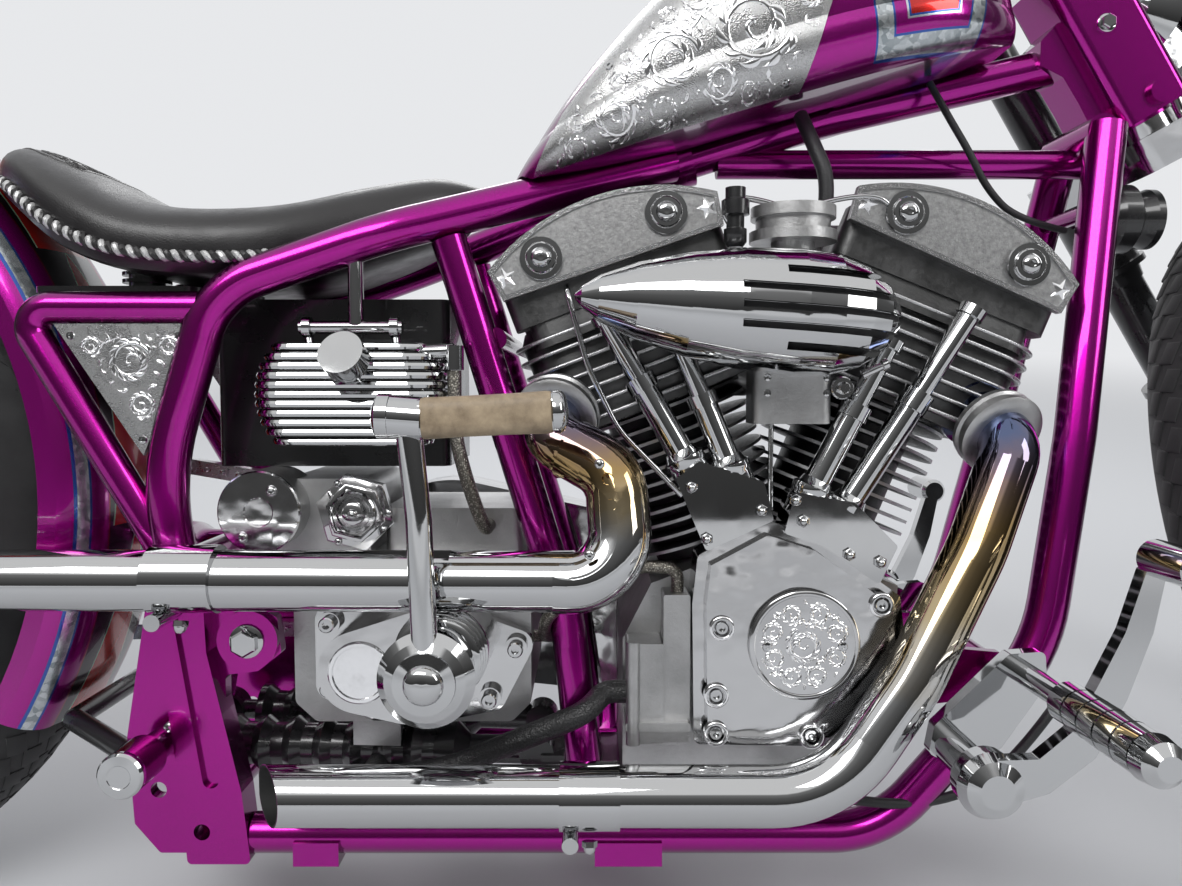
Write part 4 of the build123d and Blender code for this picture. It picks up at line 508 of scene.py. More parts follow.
def hose_braid():
    """Steel braid on the oil lines, black cloth on the breather hose below them."""
    made, tree, shader = finish_of("hose_braid", (0.5, 0.48, 0.43), 0.9, 0.34)
    steel = calc(tree, "GREATER_THAN", on_machine(tree)[2], BREATHER_TOP)
    place = node(tree, "TexCoord").outputs["Object"]
    weave = node(tree, "TexVoronoi", {"Vector": place, "Scale": 620.0}, distance="MANHATTAN").outputs["Distance"]
    bright = ramp(tree, weave, [(0.1, (0.62, 0.59, 0.52)), (0.7, (0.16, 0.15, 0.13))])
    tree.links.new(overlaid(tree, (0.018, 0.018, 0.019, 1.0), [(steel, bright)]), shader.inputs["Base Color"])
    tree.links.new(calc(tree, "MULTIPLY", steel, 0.95), shader.inputs["Metallic"])
    bump(tree, shader, weave, 0.6, 0.0006)
    return made


def brushed_steel():
    made, tree, shader = finish_of("brushed_steel", (0.55, 0.55, 0.56), 1.0, 0.30)
    scratches = noise(tree, 160.0, 5.0, 0.6, (1, 14, 1))
    vary(tree, shader, "Roughness", scratches, 0.20, 0.42)
    bump(tree, shader, scratches, 0.15, 0.0004)
    return made


def engraved_silver():
    """The stippled ground between the scrolls."""
    made, tree, shader = finish_of("engraved_silver", (0.66, 0.66, 0.67), 1.0, 0.26)
    stipple = node(tree, "TexVoronoi", {"Vector": node(tree, "TexCoord").outputs["Object"], "Scale": 1100.0})
    tree.links.new(ramp(tree, stipple.outputs["Distance"], [(0.0, 0.22), (0.5, 0.58)]), shader.inputs["Base Color"])
    bump(tree, shader, stipple.outputs["Distance"], 0.5, 0.0004)
    vary(tree, shader, "Roughness", noise(tree, 60.0), 0.20, 0.34)
    return made


def saddle_leather():
    made, tree, shader = finish_of("saddle_leather", (0.012, 0.011, 0.012), 0.0, 0.36, coat=0.25, coat_roughness=0.25)
    place = node(tree, "TexCoord").outputs["Object"]
    grain = node(tree, "TexVoronoi", {"Vector": place, "Scale": 520.0}, feature="DISTANCE_TO_EDGE").outputs["Distance"]
    creases = noise(tree, 40.0, 6.0, 0.6)
    height = node(tree, "MixRGB", {"Fac": 0.35, "Color1": grain, "Color2": creases})
    bump(tree, shader, height.outputs["Color"], 0.35, 0.0008)
    vary(tree, shader, "Roughness", creases, 0.28, 0.50)
    return made


def hose_rubber():
    """Black braid over rubber."""
    made, tree, shader = finish_of("hose_rubber", (0.02, 0.02, 0.022), 0.0, 0.5)
    place = node(tree, "TexCoord").outputs["Object"]
    weave = node(tree, "TexVoronoi", {"Vector": place, "Scale": 700.0}, distance="CHEBYCHEV").outputs["Distance"]
    bump(tree, shader, weave, 0.5, 0.0005)
    vary(tree, shader, "Roughness", noise(tree, 30.0), 0.4, 0.6)
    return made


def lamp_glass():
    made, tree, shader = finish_of("lamp_glass", (0.80, 0.83, 0.86), 0.0, 0.08, coat=1.0)
    flutes = node(tree, "TexWave", {"Vector": node(tree, "TexCoord").outputs["Object"], "Scale": 40.0},
                  bands_direction="Y").outputs["Fac"]
    shade = ramp(tree, flutes, [(0.0, (0.55, 0.58, 0.62)), (1.0, (0.86, 0.88, 0.90))])
    tree.links.new(shade, shader.inputs["Base Color"])
    bump(tree, shader, flutes, 0.5, 0.001)
    vary(tree, shader, "Roughness", flutes, 0.06, 0.14)
    return made


def red_glass():
    made, tree, shader = finish_of("red_glass", (0.42, 0.01, 0.012), 0.0, 0.10, coat=1.0)
    facets = node(tree, "TexVoronoi", {"Vector": node(tree, "TexCoord").outputs["Object"], "Scale": 260.0},
                  distance="CHEBYCHEV").outputs["Distance"]
    shade = ramp(tree, facets, [(0.0, (0.55, 0.015, 0.015)), (0.6, (0.22, 0.004, 0.006))])
    tree.links.new(shade, shader.inputs["Base Color"])
    bump(tree, shader, facets, 0.6, 0.001)
    vary(tree, shader, "Roughness", facets, 0.08, 0.16)
    return made


finishes = {make.__name__: make() for make in (
    candy_paint, fender_paint, tank_paint, chrome_with_painted_louvre_shade, pipe_chrome, rocker_plate, barrel_black, head_cast, fin_cast,
    hose_braid, brushed_steel, engraved_silver, saddle_leather, hose_rubber, lamp_glass, red_glass)}
finishes.update({name: plain_finish(name) for name in PLAIN})
# nodes whose finish is a special one of their slot's
special = {"rear_fender": "fender_paint", "fuel_tank": "tank_paint", "exhaust_pipes": "pipe_chrome",
           "rocker_plates": "rocker_plate", "rocker_boxes": "dark_cast_painted_shade", "cylinders": "barrel_black",
           "heads": "head_cast", "hoses": "hose_braid",
           "air_cleaner": "chrome_with_painted_louvre_shade"}
for entry in frame["record"]["subparts"]:
    skin = nodes[entry["node"]]
    skin.data.materials.clear()
    skin.data.materials.append(finishes[special.get(entry["node"], entry["material_slot"])])


# Making pieces
SHARP = math.radians(38)


def piece_from(name, mesh, finish, body):
    """A mesh in the frame's place made a piece of the machine."""
    for polygon in mesh.polygons:
        polygon.use_smooth = True
    mesh.set_sharp_from_angle(angle=SHARP)
    mesh.materials.clear()
    mesh.materials.append(finishes[finish])
    mesh.name = name
    piece = bpy.data.objects.new(name, mesh)
    stage_scene.collection.objects.link(piece)
    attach(piece, body)
    return piece


def closed_mesh(name, vertices, faces, place=PARKED):
    """Points in millimetres on the upright machine, as one mesh in the frame with its faces outward."""
    mesh = bpy.data.meshes.new(name)
    mesh.from_pydata([place @ (Vector(point) / 1000) for point in vertices], [], faces)
    shape = bmesh.new()
    shape.from_mesh(mesh)
    bmesh.ops.remove_doubles(shape, verts=shape.verts, dist=0.00001)
    bmesh.ops.recalc_face_normals(shape, faces=shape.faces)
    shape.to_mesh(mesh)
    shape.free()
    return mesh


def joined(shapes):
    """Several (vertices, faces) as one."""
    vertices, faces = [], []
    for points, loops in shapes:
        first = len(vertices)
        vertices += list(points)
        faces += [tuple(first + index for index in loop) for loop in loops]
    return vertices, faces


def skinned(rings, capped=True):
    """Rings of equally many points joined by one skin, closed at both ends unless the ends meet."""
    count = len(rings[0])
    faces = [(row * count + step, row * count + (step + 1) % count,
              (row + 1) * count + (step + 1) % count, (row + 1) * count + step)
             for row in range(len(rings) - 1) for step in range(count)]
    if capped:
        faces += [tuple(range(count)), tuple(range((len(rings) - 1) * count, len(rings) * count))]
    return [point for ring in rings for point in ring], faces


def lathe(origin, direction, stations, segments=40):
    """A turned shape; each station is (distance along the axis, radius)."""
    start = Vector(origin)
    along = Vector(direction).normalized()
    side = along.orthogonal().normalized()
    other = along.cross(side)
    angles = [2 * math.pi * step / segments for step in range(segments)]
    rings = [[start + along * distance + (side * math.cos(angle) + other * math.sin(angle)) * radius
              for angle in angles] for distance, radius in stations]
    return skinned(rings, stations[0] != stations[-1])


def turned_piece(name, shapes, finish, body="chassis", place=PARKED):
    return piece_from(name, closed_mesh(name, *joined(shapes), place), finish, body)


def smooth_run(name, points, radius, place):
    """A round bar along a smooth curve led by its control points, as a mesh in the frame."""
    data = bpy.data.curves.new(name, "CURVE")
    data.dimensions = "3D"
    spline = data.splines.new("NURBS")
    spline.points.add(len(points) - 1)
    for control, point in zip(spline.points, points):
        control.co = (*(place @ (Vector(point) / 1000)), 1.0)
    spline.order_u = 3
    spline.use_endpoint_u = True
    spline.resolution_u = 8
    data.bevel_depth = radius / 1000
    data.bevel_resolution = 3
    data.use_fill_caps = True
    carrier = bpy.data.objects.new(name, data)
    mesh = bpy.data.meshes.new_from_object(carrier)
    bpy.data.objects.remove(carrier)
    return mesh


def run_piece(name, routes, finish, body="chassis", place=PARKED):
    """Several bars, each (radius, points), as one piece."""
    shape = bmesh.new()
    for radius, points in routes:
        mesh = smooth_run(name, points, radius, place)
        shape.from_mesh(mesh)
        bpy.data.meshes.remove(mesh)
    bmesh.ops.recalc_face_normals(shape, faces=shape.faces)
    mesh = bpy.data.meshes.new(name)
    shape.to_mesh(mesh)
    shape.free()
    return piece_from(name, mesh, finish, body)


# What repeats: copies of a head set on points, and strands twisted round a path
def group_ends(name, entries):
    """An empty node group with one mesh output; returns it, its inputs' sockets and its last node."""
    tree = bpy.data.node_groups.new(name, "GeometryNodeTree")
    tree.interface.new_socket("Geometry", in_out="INPUT", socket_type="NodeSocketGeometry")
    for label, kind in entries:
        tree.interface.new_socket(label, in_out="INPUT", socket_type="NodeSocket" + kind)
    tree.interface.new_socket("Geometry", in_out="OUTPUT", socket_type="NodeSocketGeometry")
    return tree, tree.nodes.new("NodeGroupInput").outputs, tree.nodes.new("NodeGroupOutput")


def finished(tree, geometry, entry, leave):
    """Makes the copies real and gives them their finish."""
    real = node(tree, "GeometryNodeRealizeInstances", {"Geometry": geometry}).outputs["Geometry"]
    dressed = node(tree, "GeometryNodeSetMaterial", {"Geometry": real, "Material": entry["Finish"]}).outputs["Geometry"]
    tree.links.new(dressed, leave.inputs["Geometry"])
    return tree


def set_on_points_tree():
    """Sets the head on every point, turned and sized as the point's attributes say."""
    tree, entry, leave = group_ends("set_on_points", [("Head", "Object"), ("Size", "Float"), ("Finish", "Material")])
    head = node(tree, "GeometryNodeObjectInfo", {"Object": entry["Head"]}).outputs["Geometry"]
    turn = node(tree, "GeometryNodeInputNamedAttribute", {"Name": "turn"}, data_type="FLOAT_VECTOR")
    reach = node(tree, "GeometryNodeInputNamedAttribute", {"Name": "reach"}, data_type="FLOAT")
    rotation = node(tree, "FunctionNodeEulerToRotation", {"Euler": turn.outputs["Attribute"]})
    copies = node(tree, "GeometryNodeInstanceOnPoints", {
        "Points": entry["Geometry"], "Instance": head, "Rotation": rotation.outputs["Rotation"],
        "Scale": calc(tree, "MULTIPLY", reach.outputs["Attribute"], entry["Size"])})
    return finished(tree, copies.outputs["Instances"], entry, leave)


def twisted_strand_tree():
    """One strand of a cord, wound round a path."""
    tree, entry, leave = group_ends("twisted_strand", [
        ("Step", "Float"), ("Pitch", "Float"), ("Phase", "Float"), ("Offset", "Float"), ("Thickness", "Float"),
        ("Finish", "Material")])
    even = node(tree, "GeometryNodeResampleCurve", {"Curve": entry["Geometry"], "Length": entry["Step"]}, mode="LENGTH")
    along = node(tree, "GeometryNodeSplineParameter").outputs["Length"]
    angle = calc(tree, "MULTIPLY_ADD", calc(tree, "DIVIDE", along, entry["Pitch"]), 2 * math.pi, entry["Phase"])
    swing = node(tree, "VectorRotate", {
        "Vector": node(tree, "GeometryNodeInputNormal").outputs["Normal"],
        "Axis": node(tree, "GeometryNodeInputTangent").outputs["Tangent"], "Angle": angle}, rotation_type="AXIS_ANGLE")
    push = node(tree, "VectorMath", {0: swing.outputs["Vector"], "Scale": entry["Offset"]}, operation="SCALE")
    wound = node(tree, "GeometryNodeSetPosition", {"Geometry": even.outputs["Curve"], "Offset": push.outputs["Vector"]})
    section = node(tree, "GeometryNodeCurvePrimitiveCircle", {"Resolution": 8, "Radius": entry["Thickness"]})
    body = node(tree, "GeometryNodeCurveToMesh", {
        "Curve": wound.outputs["Geometry"], "Profile Curve": section.outputs["Curve"], "Fill Caps": True})
    return finished(tree, body.outputs["Mesh"], entry, leave)


SET_ON_POINTS = set_on_points_tree()
TWISTED_STRAND = twisted_strand_tree()


def shaped_by(tree, carrier, values):
    """The mesh that a node group makes of a carrier object, which is then gone."""
    stage_scene.collection.objects.link(carrier)
    modifier = carrier.modifiers.new("shape", "NODES")
    modifier.node_group = tree
    for item in tree.interface.items_tree:
        if item.in_out == "INPUT" and item.name in values:
            modifier[item.identifier] = values[item.name]
    carrier.update_tag()
    evaluated = carrier.evaluated_get(bpy.context.evaluated_depsgraph_get())
    mesh = bpy.data.meshes.new_from_object(evaluated)
    bpy.data.objects.remove(carrier)
    return mesh


def head_of(name, shape):
    """A small shape that is copied, in millimetres, its foot at the origin and its face along z."""
    mesh = closed_mesh(name, *shape, Matrix.Identity(4))
    head = bpy.data.objects.new(name, mesh)
    stage_scene.collection.objects.link(head)
    return head


UP = (0, 0, 1)
cap_bolt = head_of("cap_bolt", lathe((0, 0, 0), UP, [
    (-1.0, 4.6), (4.4, 4.6), (5.2, 3.9), (5.2, 2.3), (2.2, 2.2), (2.0, 0.1)], 24))
hex_bolt = head_of("hex_bolt", joined([
    lathe((0, 0, 0), UP, [(-1, 6.4), (0.9, 6.4), (1.1, 6.1)], 24),
    lathe((0, 0, 1.0), UP, [(0, 5.2), (3.4, 5.2), (4.1, 4.4)], 6)]))
button_bolt = head_of("button_bolt", lathe((0, 0, 0), UP, [
    (-1.0, 4.6), (0.6, 4.6), (1.8, 4.0), (2.7, 2.9), (2.9, 1.9), (1.2, 1.8), (1.1, 0.1)], 24))
slot_screw = head_of("slot_screw", lathe((0, 0, 0), UP, [
    (-0.8, 3.8), (0.4, 3.8), (1.0, 3.3), (1.2, 1.5), (0.4, 1.4), (0.35, 0.1)], 20))
dome_nut = head_of("dome_nut", joined([
    lathe((0, 0, 0), UP, [(-1, 5.6), (3.0, 5.6), (3.6, 4.9)], 6),
    lathe((0, 0, 3.2), UP, [(0, 4.6), (2.2, 4.2), (4.0, 3.0), (5.0, 1.4), (5.3, 0.2)], 20)]))
heads = [cap_bolt, hex_bolt, button_bolt, slot_screw, dome_nut]


def set_on(name, head, places, finish, body="chassis", place=PARKED):
    """Copies of a head; each place is (point, the way it faces, size, and at will the way its x lies)."""
    mesh = bpy.data.meshes.new(name)
    mesh.from_pydata([place @ (Vector(entry[0]) / 1000) for entry in places], [], [])
    mesh.attributes.new("turn", "FLOAT_VECTOR", "POINT")
    mesh.attributes.new("reach", "FLOAT", "POINT")
    turn, reach = mesh.attributes["turn"], mesh.attributes["reach"]
    turning = place.to_3x3()
    for index, entry in enumerate(places):
        out = (turning @ Vector(entry[1])).normalized()
        hint = turning @ Vector(entry[3]) if len(entry) > 3 else out.orthogonal()
        side = (hint - out * hint.dot(out)).normalized()
        turn.data[index].vector = Matrix((side, out.cross(side), out)).transposed().to_euler()
        reach.data[index].value = entry[2]
    carrier = bpy.data.objects.new(name, mesh)
    made = shaped_by(SET_ON_POINTS, carrier, {"Head": head, "Size": 1.0, "Finish": finishes[finish]})
    return piece_from(name, made, finish, body)


# Faces that pieces are laid on, in millimetres on the upright machine
def surface_of(mesh):
    points = [TO_MACHINE @ vertex.co * 1000 for vertex in mesh.vertices]
    return BVHTree.FromPolygons(points, [tuple(polygon.vertices) for polygon in mesh.polygons])


def side_surface(name, side):
    """Finds the point and normal of a node's flank, seen from the right (-1) or the left (1)."""
    tree = surface_of(nodes[name].data)

    def find(u, v):
        hit, normal, _, _ = tree.ray_cast(Vector((u, side * 400, v)), Vector((0, -side, 0)))
        if hit is None:
            return None
        if normal.y * side < 0:
            normal = -normal
        return hit, normal
    return find


def flat_surface(y, side):
    """A plane that stands so far out on one side."""
    def find(u, v):
        return Vector((u, side * y, v)), Vector((0, side, 0))
    return find


# Scroll engraving: circles packed into an outline, each filled with a coiled stem and its leaves
def edge_distance(point, outline):
    """Distance from a point to an outline, negative outside."""
    x, y = point
    inside = False
    nearest = 1e9
    for (ax, ay), (bx, by) in zip(outline, outline[1:] + outline[:1]):
        if (ay > y) != (by > y) and x < (bx - ax) * (y - ay) / (by - ay) + ax:
            inside = not inside
        dx, dy = bx - ax, by - ay
        along = max(0.0, min(1.0, ((x - ax) * dx + (y - ay) * dy) / (dx * dx + dy * dy)))
        nearest = min(nearest, math.hypot(ax + along * dx - x, ay + along * dy - y))
    return nearest if inside else -nearest


def packed_circles(outline, sizes, margin, draws, keep_clear, placed):
    """The placed circles and more of the given radii, largest first, that fit in the outline and past each other."""
    low_u, high_u = min(p[0] for p in outline), max(p[0] for p in outline)
    low_v, high_v = min(p[1] for p in outline), max(p[1] for p in outline)
    circles = list(placed)
    for radius in sizes:
        for _ in range(1600):
            centre = (draws.uniform(low_u, high_u), draws.uniform(low_v, high_v))
            if edge_distance(centre, outline) < radius + margin:
                continue
            if any(math.hypot(centre[0] - u, centre[1] - v) < 0.97 * (radius + r) for u, v, r in circles + keep_clear):
                continue
            circles.append((*centre, radius))
    return circles


def leaf(start, heading, length, width, curl):
    """A curled leaf as (u, v, width) points."""
    u, v = start
    points = []
    steps = 8
    for step in range(steps + 1):
        share = step / steps
        points.append((u, v, width * (0.30 + math.sin(math.pi * min(share * 1.15, 1.0))) * (1 - 0.72 * share)))
        heading += curl / steps
        u += math.cos(heading) * length / steps
        v += math.sin(heading) * length / steps
    return points


def coiled_stem(centre, radius, draws):
    """A coiled stem with leaves on both sides, within a circle."""
    strokes = []
    way = draws.choice((-1, 1))
    start = draws.uniform(0, 2 * math.pi)
    turns = 1.55
    steps = 34
    stem_points = []
    for step in range(steps + 1):
        share = step / steps
        angle = start + way * 2 * math.pi * turns * share
        reach = radius * (0.74 * (1 - share) ** 0.9 + 0.10)
        stem_points.append((centre[0] + reach * math.cos(angle), centre[1] + reach * math.sin(angle),
                            radius * (0.165 - 0.06 * share), angle, reach))
    strokes.append([point[:3] for point in stem_points])
    tip = stem_points[-1]
    strokes.append(leaf((tip[0], tip[1]), tip[3] + way * math.pi / 2, radius * 0.12, radius * 0.26, 0.5 * way))
    for index in range(0, 25, 2):
        u, v, width, angle, reach = stem_points[index]
        tangent = angle + way * math.pi / 2
        outward = tangent - way * math.radians(46)
        room = radius * 1.12 - reach if index < 15 else 0.32 * radius
        if room > 0.06 * radius:
            strokes.append(leaf((u, v), outward, min(room * 1.8, radius * 0.60), radius * 0.21, way * 1.5))
        if index > 3:
            inward = tangent + way * math.radians(38)
            strokes.append(leaf((u, v), inward, radius * 0.24, radius * 0.11, -way * 1.2))
    return strokes


def flowing_stem(first, second, draws):
    """A leafy stem that runs from one coil round to the next."""
    (u0, v0, r0), (u1, v1, r1) = first, second
    heading = math.atan2(v1 - v0, u1 - u0)
    way = draws.choice((-1, 1))
    start = (u0 + 0.92 * r0 * math.cos(heading + way * 0.9), v0 + 0.92 * r0 * math.sin(heading + way * 0.9))
    end = (u1 - 0.92 * r1 * math.cos(heading - way * 0.9), v1 - 0.92 * r1 * math.sin(heading - way * 0.9))
    points, strokes = [], []
    for step in range(15):
        share = step / 14
        sway = math.sin(math.pi * 2 * share) * 0.10 * math.hypot(end[0] - start[0], end[1] - start[1]) * way
        points.append((start[0] + (end[0] - start[0]) * share - math.sin(heading) * sway,
                       start[1] + (end[1] - start[1]) * share + math.cos(heading) * sway, 0.13 * min(r0, r1)))
    strokes.append(points)
    for step in range(2, 14, 3):
        side = 1 if step % 2 else -1
        strokes.append(leaf(points[step][:2], heading + side * 0.8, 0.42 * min(r0, r1), 0.20 * min(r0, r1), side * 1.4))
    return strokes


# the smallest circles that hold a coil and that are joined by flowing stems
COIL_FROM = 6.5
STEM_FROM = 9


def scrolls(outline, seed, sizes, margin=2.0, keep_clear=(), placed=()):
    """All strokes of an outline: coils in the large circles, leaf pairs in the small ones, stems between the coils."""
    draws = random.Random(seed)
    strokes = []
    circles = packed_circles(outline, sizes, margin, draws, list(keep_clear), placed)
    coils = [circle for circle in circles if circle[2] >= STEM_FROM]
    for first, second in zip(coils, coils[1:]):
        if math.hypot(first[0] - second[0], first[1] - second[1]) < 1.5 * (first[2] + second[2]):
            strokes += flowing_stem(first, second, draws)
    for u, v, radius in circles:
        if radius >= COIL_FROM:
            strokes += coiled_stem((u, v), radius, draws)
        else:
            way = draws.choice((-1, 1))
            heading = draws.uniform(0, 2 * math.pi)
            start = (u - radius * 0.8 * math.cos(heading), v - radius * 0.8 * math.sin(heading))
            strokes.append(leaf(start, heading - way * 0.6, radius * 2.1, radius * 0.60, way * 2.0))
            strokes.append(leaf(start, heading + way * 0.7, radius * 1.5, radius * 0.45, -way * 1.8))
    return strokes


# section of a raised stroke: shares of its width, and of its height
ACROSS = ((-0.5, -0.35), (-0.34, 0.55), (0.0, 1.0), (0.34, 0.55), (0.5, -0.35))


def relief(strokes, find, height):
    """Strokes as closed raised strips on a surface."""
    shapes = []
    for points in strokes:
        rings = []
        for index, (u, v, width) in enumerate(points):
            before = points[max(index - 1, 0)]
            after = points[min(index + 1, len(points) - 1)]
            du, dv = after[0] - before[0], after[1] - before[1]
            size = math.hypot(du, dv) or 1.0
            ring = []
            for offset, rise in ACROSS:
                found = find(u - dv / size * offset * max(width, 0.25), v + du / size * offset * max(width, 0.25))
                if found is None:
                    ring = None
                    break
                place, normal = found
                ring.append(place + normal * height * rise)
            if ring is None:
                break
            rings.append(ring)
        if len(rings) < 3:
            continue
        shapes.append(skinned(rings))
    return joined(shapes)


def engraving(name, strokes, find, height, finish="bright_aluminium"):
    return piece_from(name, closed_mesh(name, *relief(strokes, find, height)), finish, "chassis")


def outline_stroke(outline, width):
    """A line round an outline, as one closed stroke."""
    points = []
    for (ax, ay), (bx, by) in zip(outline, outline[1:] + outline[:1]):
        steps = max(int(math.hypot(bx - ax, by - ay) / 6), 2)
        points += [(ax + (bx - ax) * k / steps, ay + (by - ay) * k / steps, width) for k in range(steps)]
    return [points + points[:2]]


TANK_SCROLLS = [(-190, 631), (-182, 627), (2, 689), (29, 780), (-76, 780), (-168, 681)]
TANK_SCREWS = [(-187, 631), (-126, 649), (-66, 672), (-2, 697), (22, 756), (-135, 712)]
TRIANGLE_SCROLLS = [(-550, 512), (-461, 512), (-494, 432)]
TRIANGLE_SCREWS = [(-547, 508), (-464, 508), (-494, 428)]
TRIANGLE_FACE = 118.0
# columns: across, up and radius of the coils that are placed one by one
TANK_COILS = [(-28, 736, 33), (-89, 711, 25), (-131, 672, 18), (-160, 650, 11), (-70, 756, 15), (12, 757, 13)]
TRIANGLE_COILS = [(-502, 488, 19), (-532, 500, 9), (-472, 500, 9), (-495, 455, 12)]
BIG_SIZES = [25, 23, 21, 19, 17, 15, 13, 11, 9, 7.5, 6, 5, 4, 3]
SMALL_SIZES = [17, 15, 13, 11, 9, 7.5, 6, 5, 4, 3, 2.4]
for side, word in ((-1, "right"), (1, "left")):
    find = side_surface("tank_panels", side)
    clear = [(u, v, 6.0) for u, v in TANK_SCREWS]
    strokes = scrolls(TANK_SCROLLS, 7, BIG_SIZES, 1.5, clear, TANK_COILS)
    engraving("tank_scrolls_" + word, strokes, find, 0.6)
    seats = [find(u, v) for u, v in TANK_SCREWS]
    set_on("tank_screws_" + word, slot_screw, [(*found, 1.0) for found in seats if found], "chrome")
    find = flat_surface(TRIANGLE_FACE, side)
    clear = [(u, v, 5.0) for u, v in TRIANGLE_SCREWS]
    strokes = scrolls(TRIANGLE_SCROLLS, 3, SMALL_SIZES, 1.0, clear, TRIANGLE_COILS)
    engraving("triangle_scrolls_" + word, strokes, find, 0.5)
    set_on("triangle_screws_" + word, slot_screw,
           [((u, side * TRIANGLE_FACE, v), (0, side, 0), 0.9) for u, v in TRIANGLE_SCREWS], "chrome")

# Points cover: an engraved disc
POINTS = (15.0, 271.0)
DISC_FACE = 131.0
disc_outline = [(POINTS[0] + 37 * math.cos(math.pi * k / 18), POINTS[1] + 37 * math.sin(math.pi * k / 18))
                for k in range(36)]
DISC_SCREWS = [(-14, 270), (44, 270)]
disc_coils = [(*POINTS, 15.5)] + [
    (POINTS[0] + 26 * math.cos(math.pi * (k + 0.5) / 4), POINTS[1] + 26 * math.sin(math.pi * (k + 0.5) / 4), 9.6)
    for k in range(8)]
disc_strokes = scrolls(disc_outline, 11, [5, 4, 3, 2.4], 0.5, [(u, v, 4.5) for u, v in DISC_SCREWS], disc_coils)
engraving("points_scrolls", disc_strokes, flat_surface(DISC_FACE, -1), 0.5)
turned_piece("points_rim", [lathe((POINTS[0], -DISC_FACE + 1, POINTS[1]), (0, -1, 0), [
    (0, 38.4), (1.8, 38.6), (2.4, 39.6), (2.4, 41.0), (1.6, 42.4), (-4, 42.6), (-4, 38.4), (0, 38.4)], 72)],
    "polished_aluminium")
set_on("points_screws", slot_screw, [((u, -DISC_FACE, v), (0, -1, 0), 1.0) for u, v in DISC_SCREWS], "chrome")

# Fasteners on the engine, gearbox and frame
# how far the screws' seats stand out on the two covers
COVER_SEAT = 121.0
GEARBOX_SEAT = 104.3
COVER_SCREWS = [(-48, 283), (-52, 230), (-52, 200), (75, 301), (22, 198)]
GEARBOX_LOBES = [(-358, 281), (-358, 229), (-322, 212), (-269, 212), (-230, 220), (-209, 261)]
RIGHT = (0, -1, 0)
set_on("cover_screws", cap_bolt, [((x, -COVER_SEAT, z), RIGHT, 1.15) for x, z in COVER_SCREWS], "chrome")
set_on("gearbox_screws", cap_bolt, [((x, -GEARBOX_SEAT, z), RIGHT, 1.35) for x, z in GEARBOX_LOBES], "chrome")
set_on("frame_bolts", hex_bolt, [
    ((-420, -112, 269), RIGHT, 2.1), ((-420, 112, 269), (0, 1, 0), 2.1),
    ((284, -34, 774), RIGHT, 1.2), ((184, -131, 249), RIGHT, 1.3)], "chrome")
set_on("plate_buttons", button_bolt, [
    ((-485, -106, 197), RIGHT, 1.2), ((-485, 106, 197), (0, 1, 0), 1.2), ((-415, -92, 388), RIGHT, 0.9),
    ((-398, -92, 352), RIGHT, 0.9), ((-143, -183, 415), RIGHT, 0.8), ((-150, -189, 352), RIGHT, 0.8)], "chrome")
turned_piece("spool_caps", [lathe((-495, side * 159, 183), (0, side, 0), [
    (0, 16.0), (2, 17.4), (6, 17.4), (8, 15.8), (8.6, 9), (8.2, 8.5), (8.2, 0.2)], 48) for side in (-1, 1)], "chrome")

turned_piece("gearbox_boss", [lathe((-325, -137, 252), RIGHT, [
    (-2, 24), (2.2, 24), (3.2, 22.8), (3.2, 20.6), (1.6, 19.8), (1.6, 8), (1.2, 0.2)], 56)], "bright_aluminium")
turned_piece("timing_ring", [lathe((x, -COVER_SEAT - 5, z), RIGHT, [
    (0, 9.6), (1.8, 9.6), (2.4, 8.8), (2.4, 7.8), (1.0, 7.2), (-2, 7.0), (-2, 9.6), (0, 9.6)], 32)
    for x, z in COVER_SCREWS], "bright_aluminium")

# Rocker covers: caps with sockets, and a star beside each
# columns: across and up a cylinder from the crankshaft
CAP_ROWS = [(-52, 392.5), (52, 391)]
STAR_ROWS = [(-84, 388), (84, 383)]


def on_cylinder(lean_degrees, u, up, y):
    """Point given across and up a leaned cylinder."""
    tilt = math.radians(lean_degrees)
    return (u * math.cos(tilt) + up * math.sin(tilt), y, CRANK_Z - u * math.sin(tilt) + up * math.cos(tilt))


def star(centre, lean_degrees, side, radius=11.5, inner=4.9, rise=2.2):
    """A five-pointed raised star on a rocker cover."""
    tilt = math.radians(lean_degrees)
    points = []
    for index in range(10):
        reach = radius if index % 2 == 0 else inner
        angle = math.pi / 2 + index * math.pi / 5
        u, up = centre[0] + reach * math.cos(angle), centre[1] + reach * math.sin(angle)
        points.append(Vector(on_cylinder(lean_degrees, u, up, side * 95.4)))
    top = Vector(on_cylinder(lean_degrees, *centre, side * (95.9 + rise)))
    faces = [(index, (index + 1) % 10, 10) for index in range(10)]
    faces.append(tuple(range(10)))
    return points + [top], faces


cap_shapes, cap_places, star_shapes = [], [], []
for lean_degrees in CYLINDER_LEANS:
    for side in (-1, 1):
        out = (0, side, 0)
        for u, up in CAP_ROWS:
            base = on_cylinder(lean_degrees, u, up, side * 100.2)
            cap_shapes.append(lathe(base, out, [
                (-3.4, 16.5), (-2.2, 17.2), (-1.2, 16.6), (-1.0, 12.2), (0, 11.4), (0.9, 12.0), (1.6, 11.2), (1.7, 8.2),
                (1.2, 7.8), (2.6, 7.4), (4.0, 6.0), (4.8, 4.0), (4.9, 2.6), (2.4, 2.5), (2.2, 0.2)], 32))
        for centre in STAR_ROWS:
            star_shapes.append(star(centre, lean_degrees, side))
turned_piece("rocker_caps", cap_shapes, "chrome")
turned_piece("rocker_stars", star_shapes, "bright_aluminium")

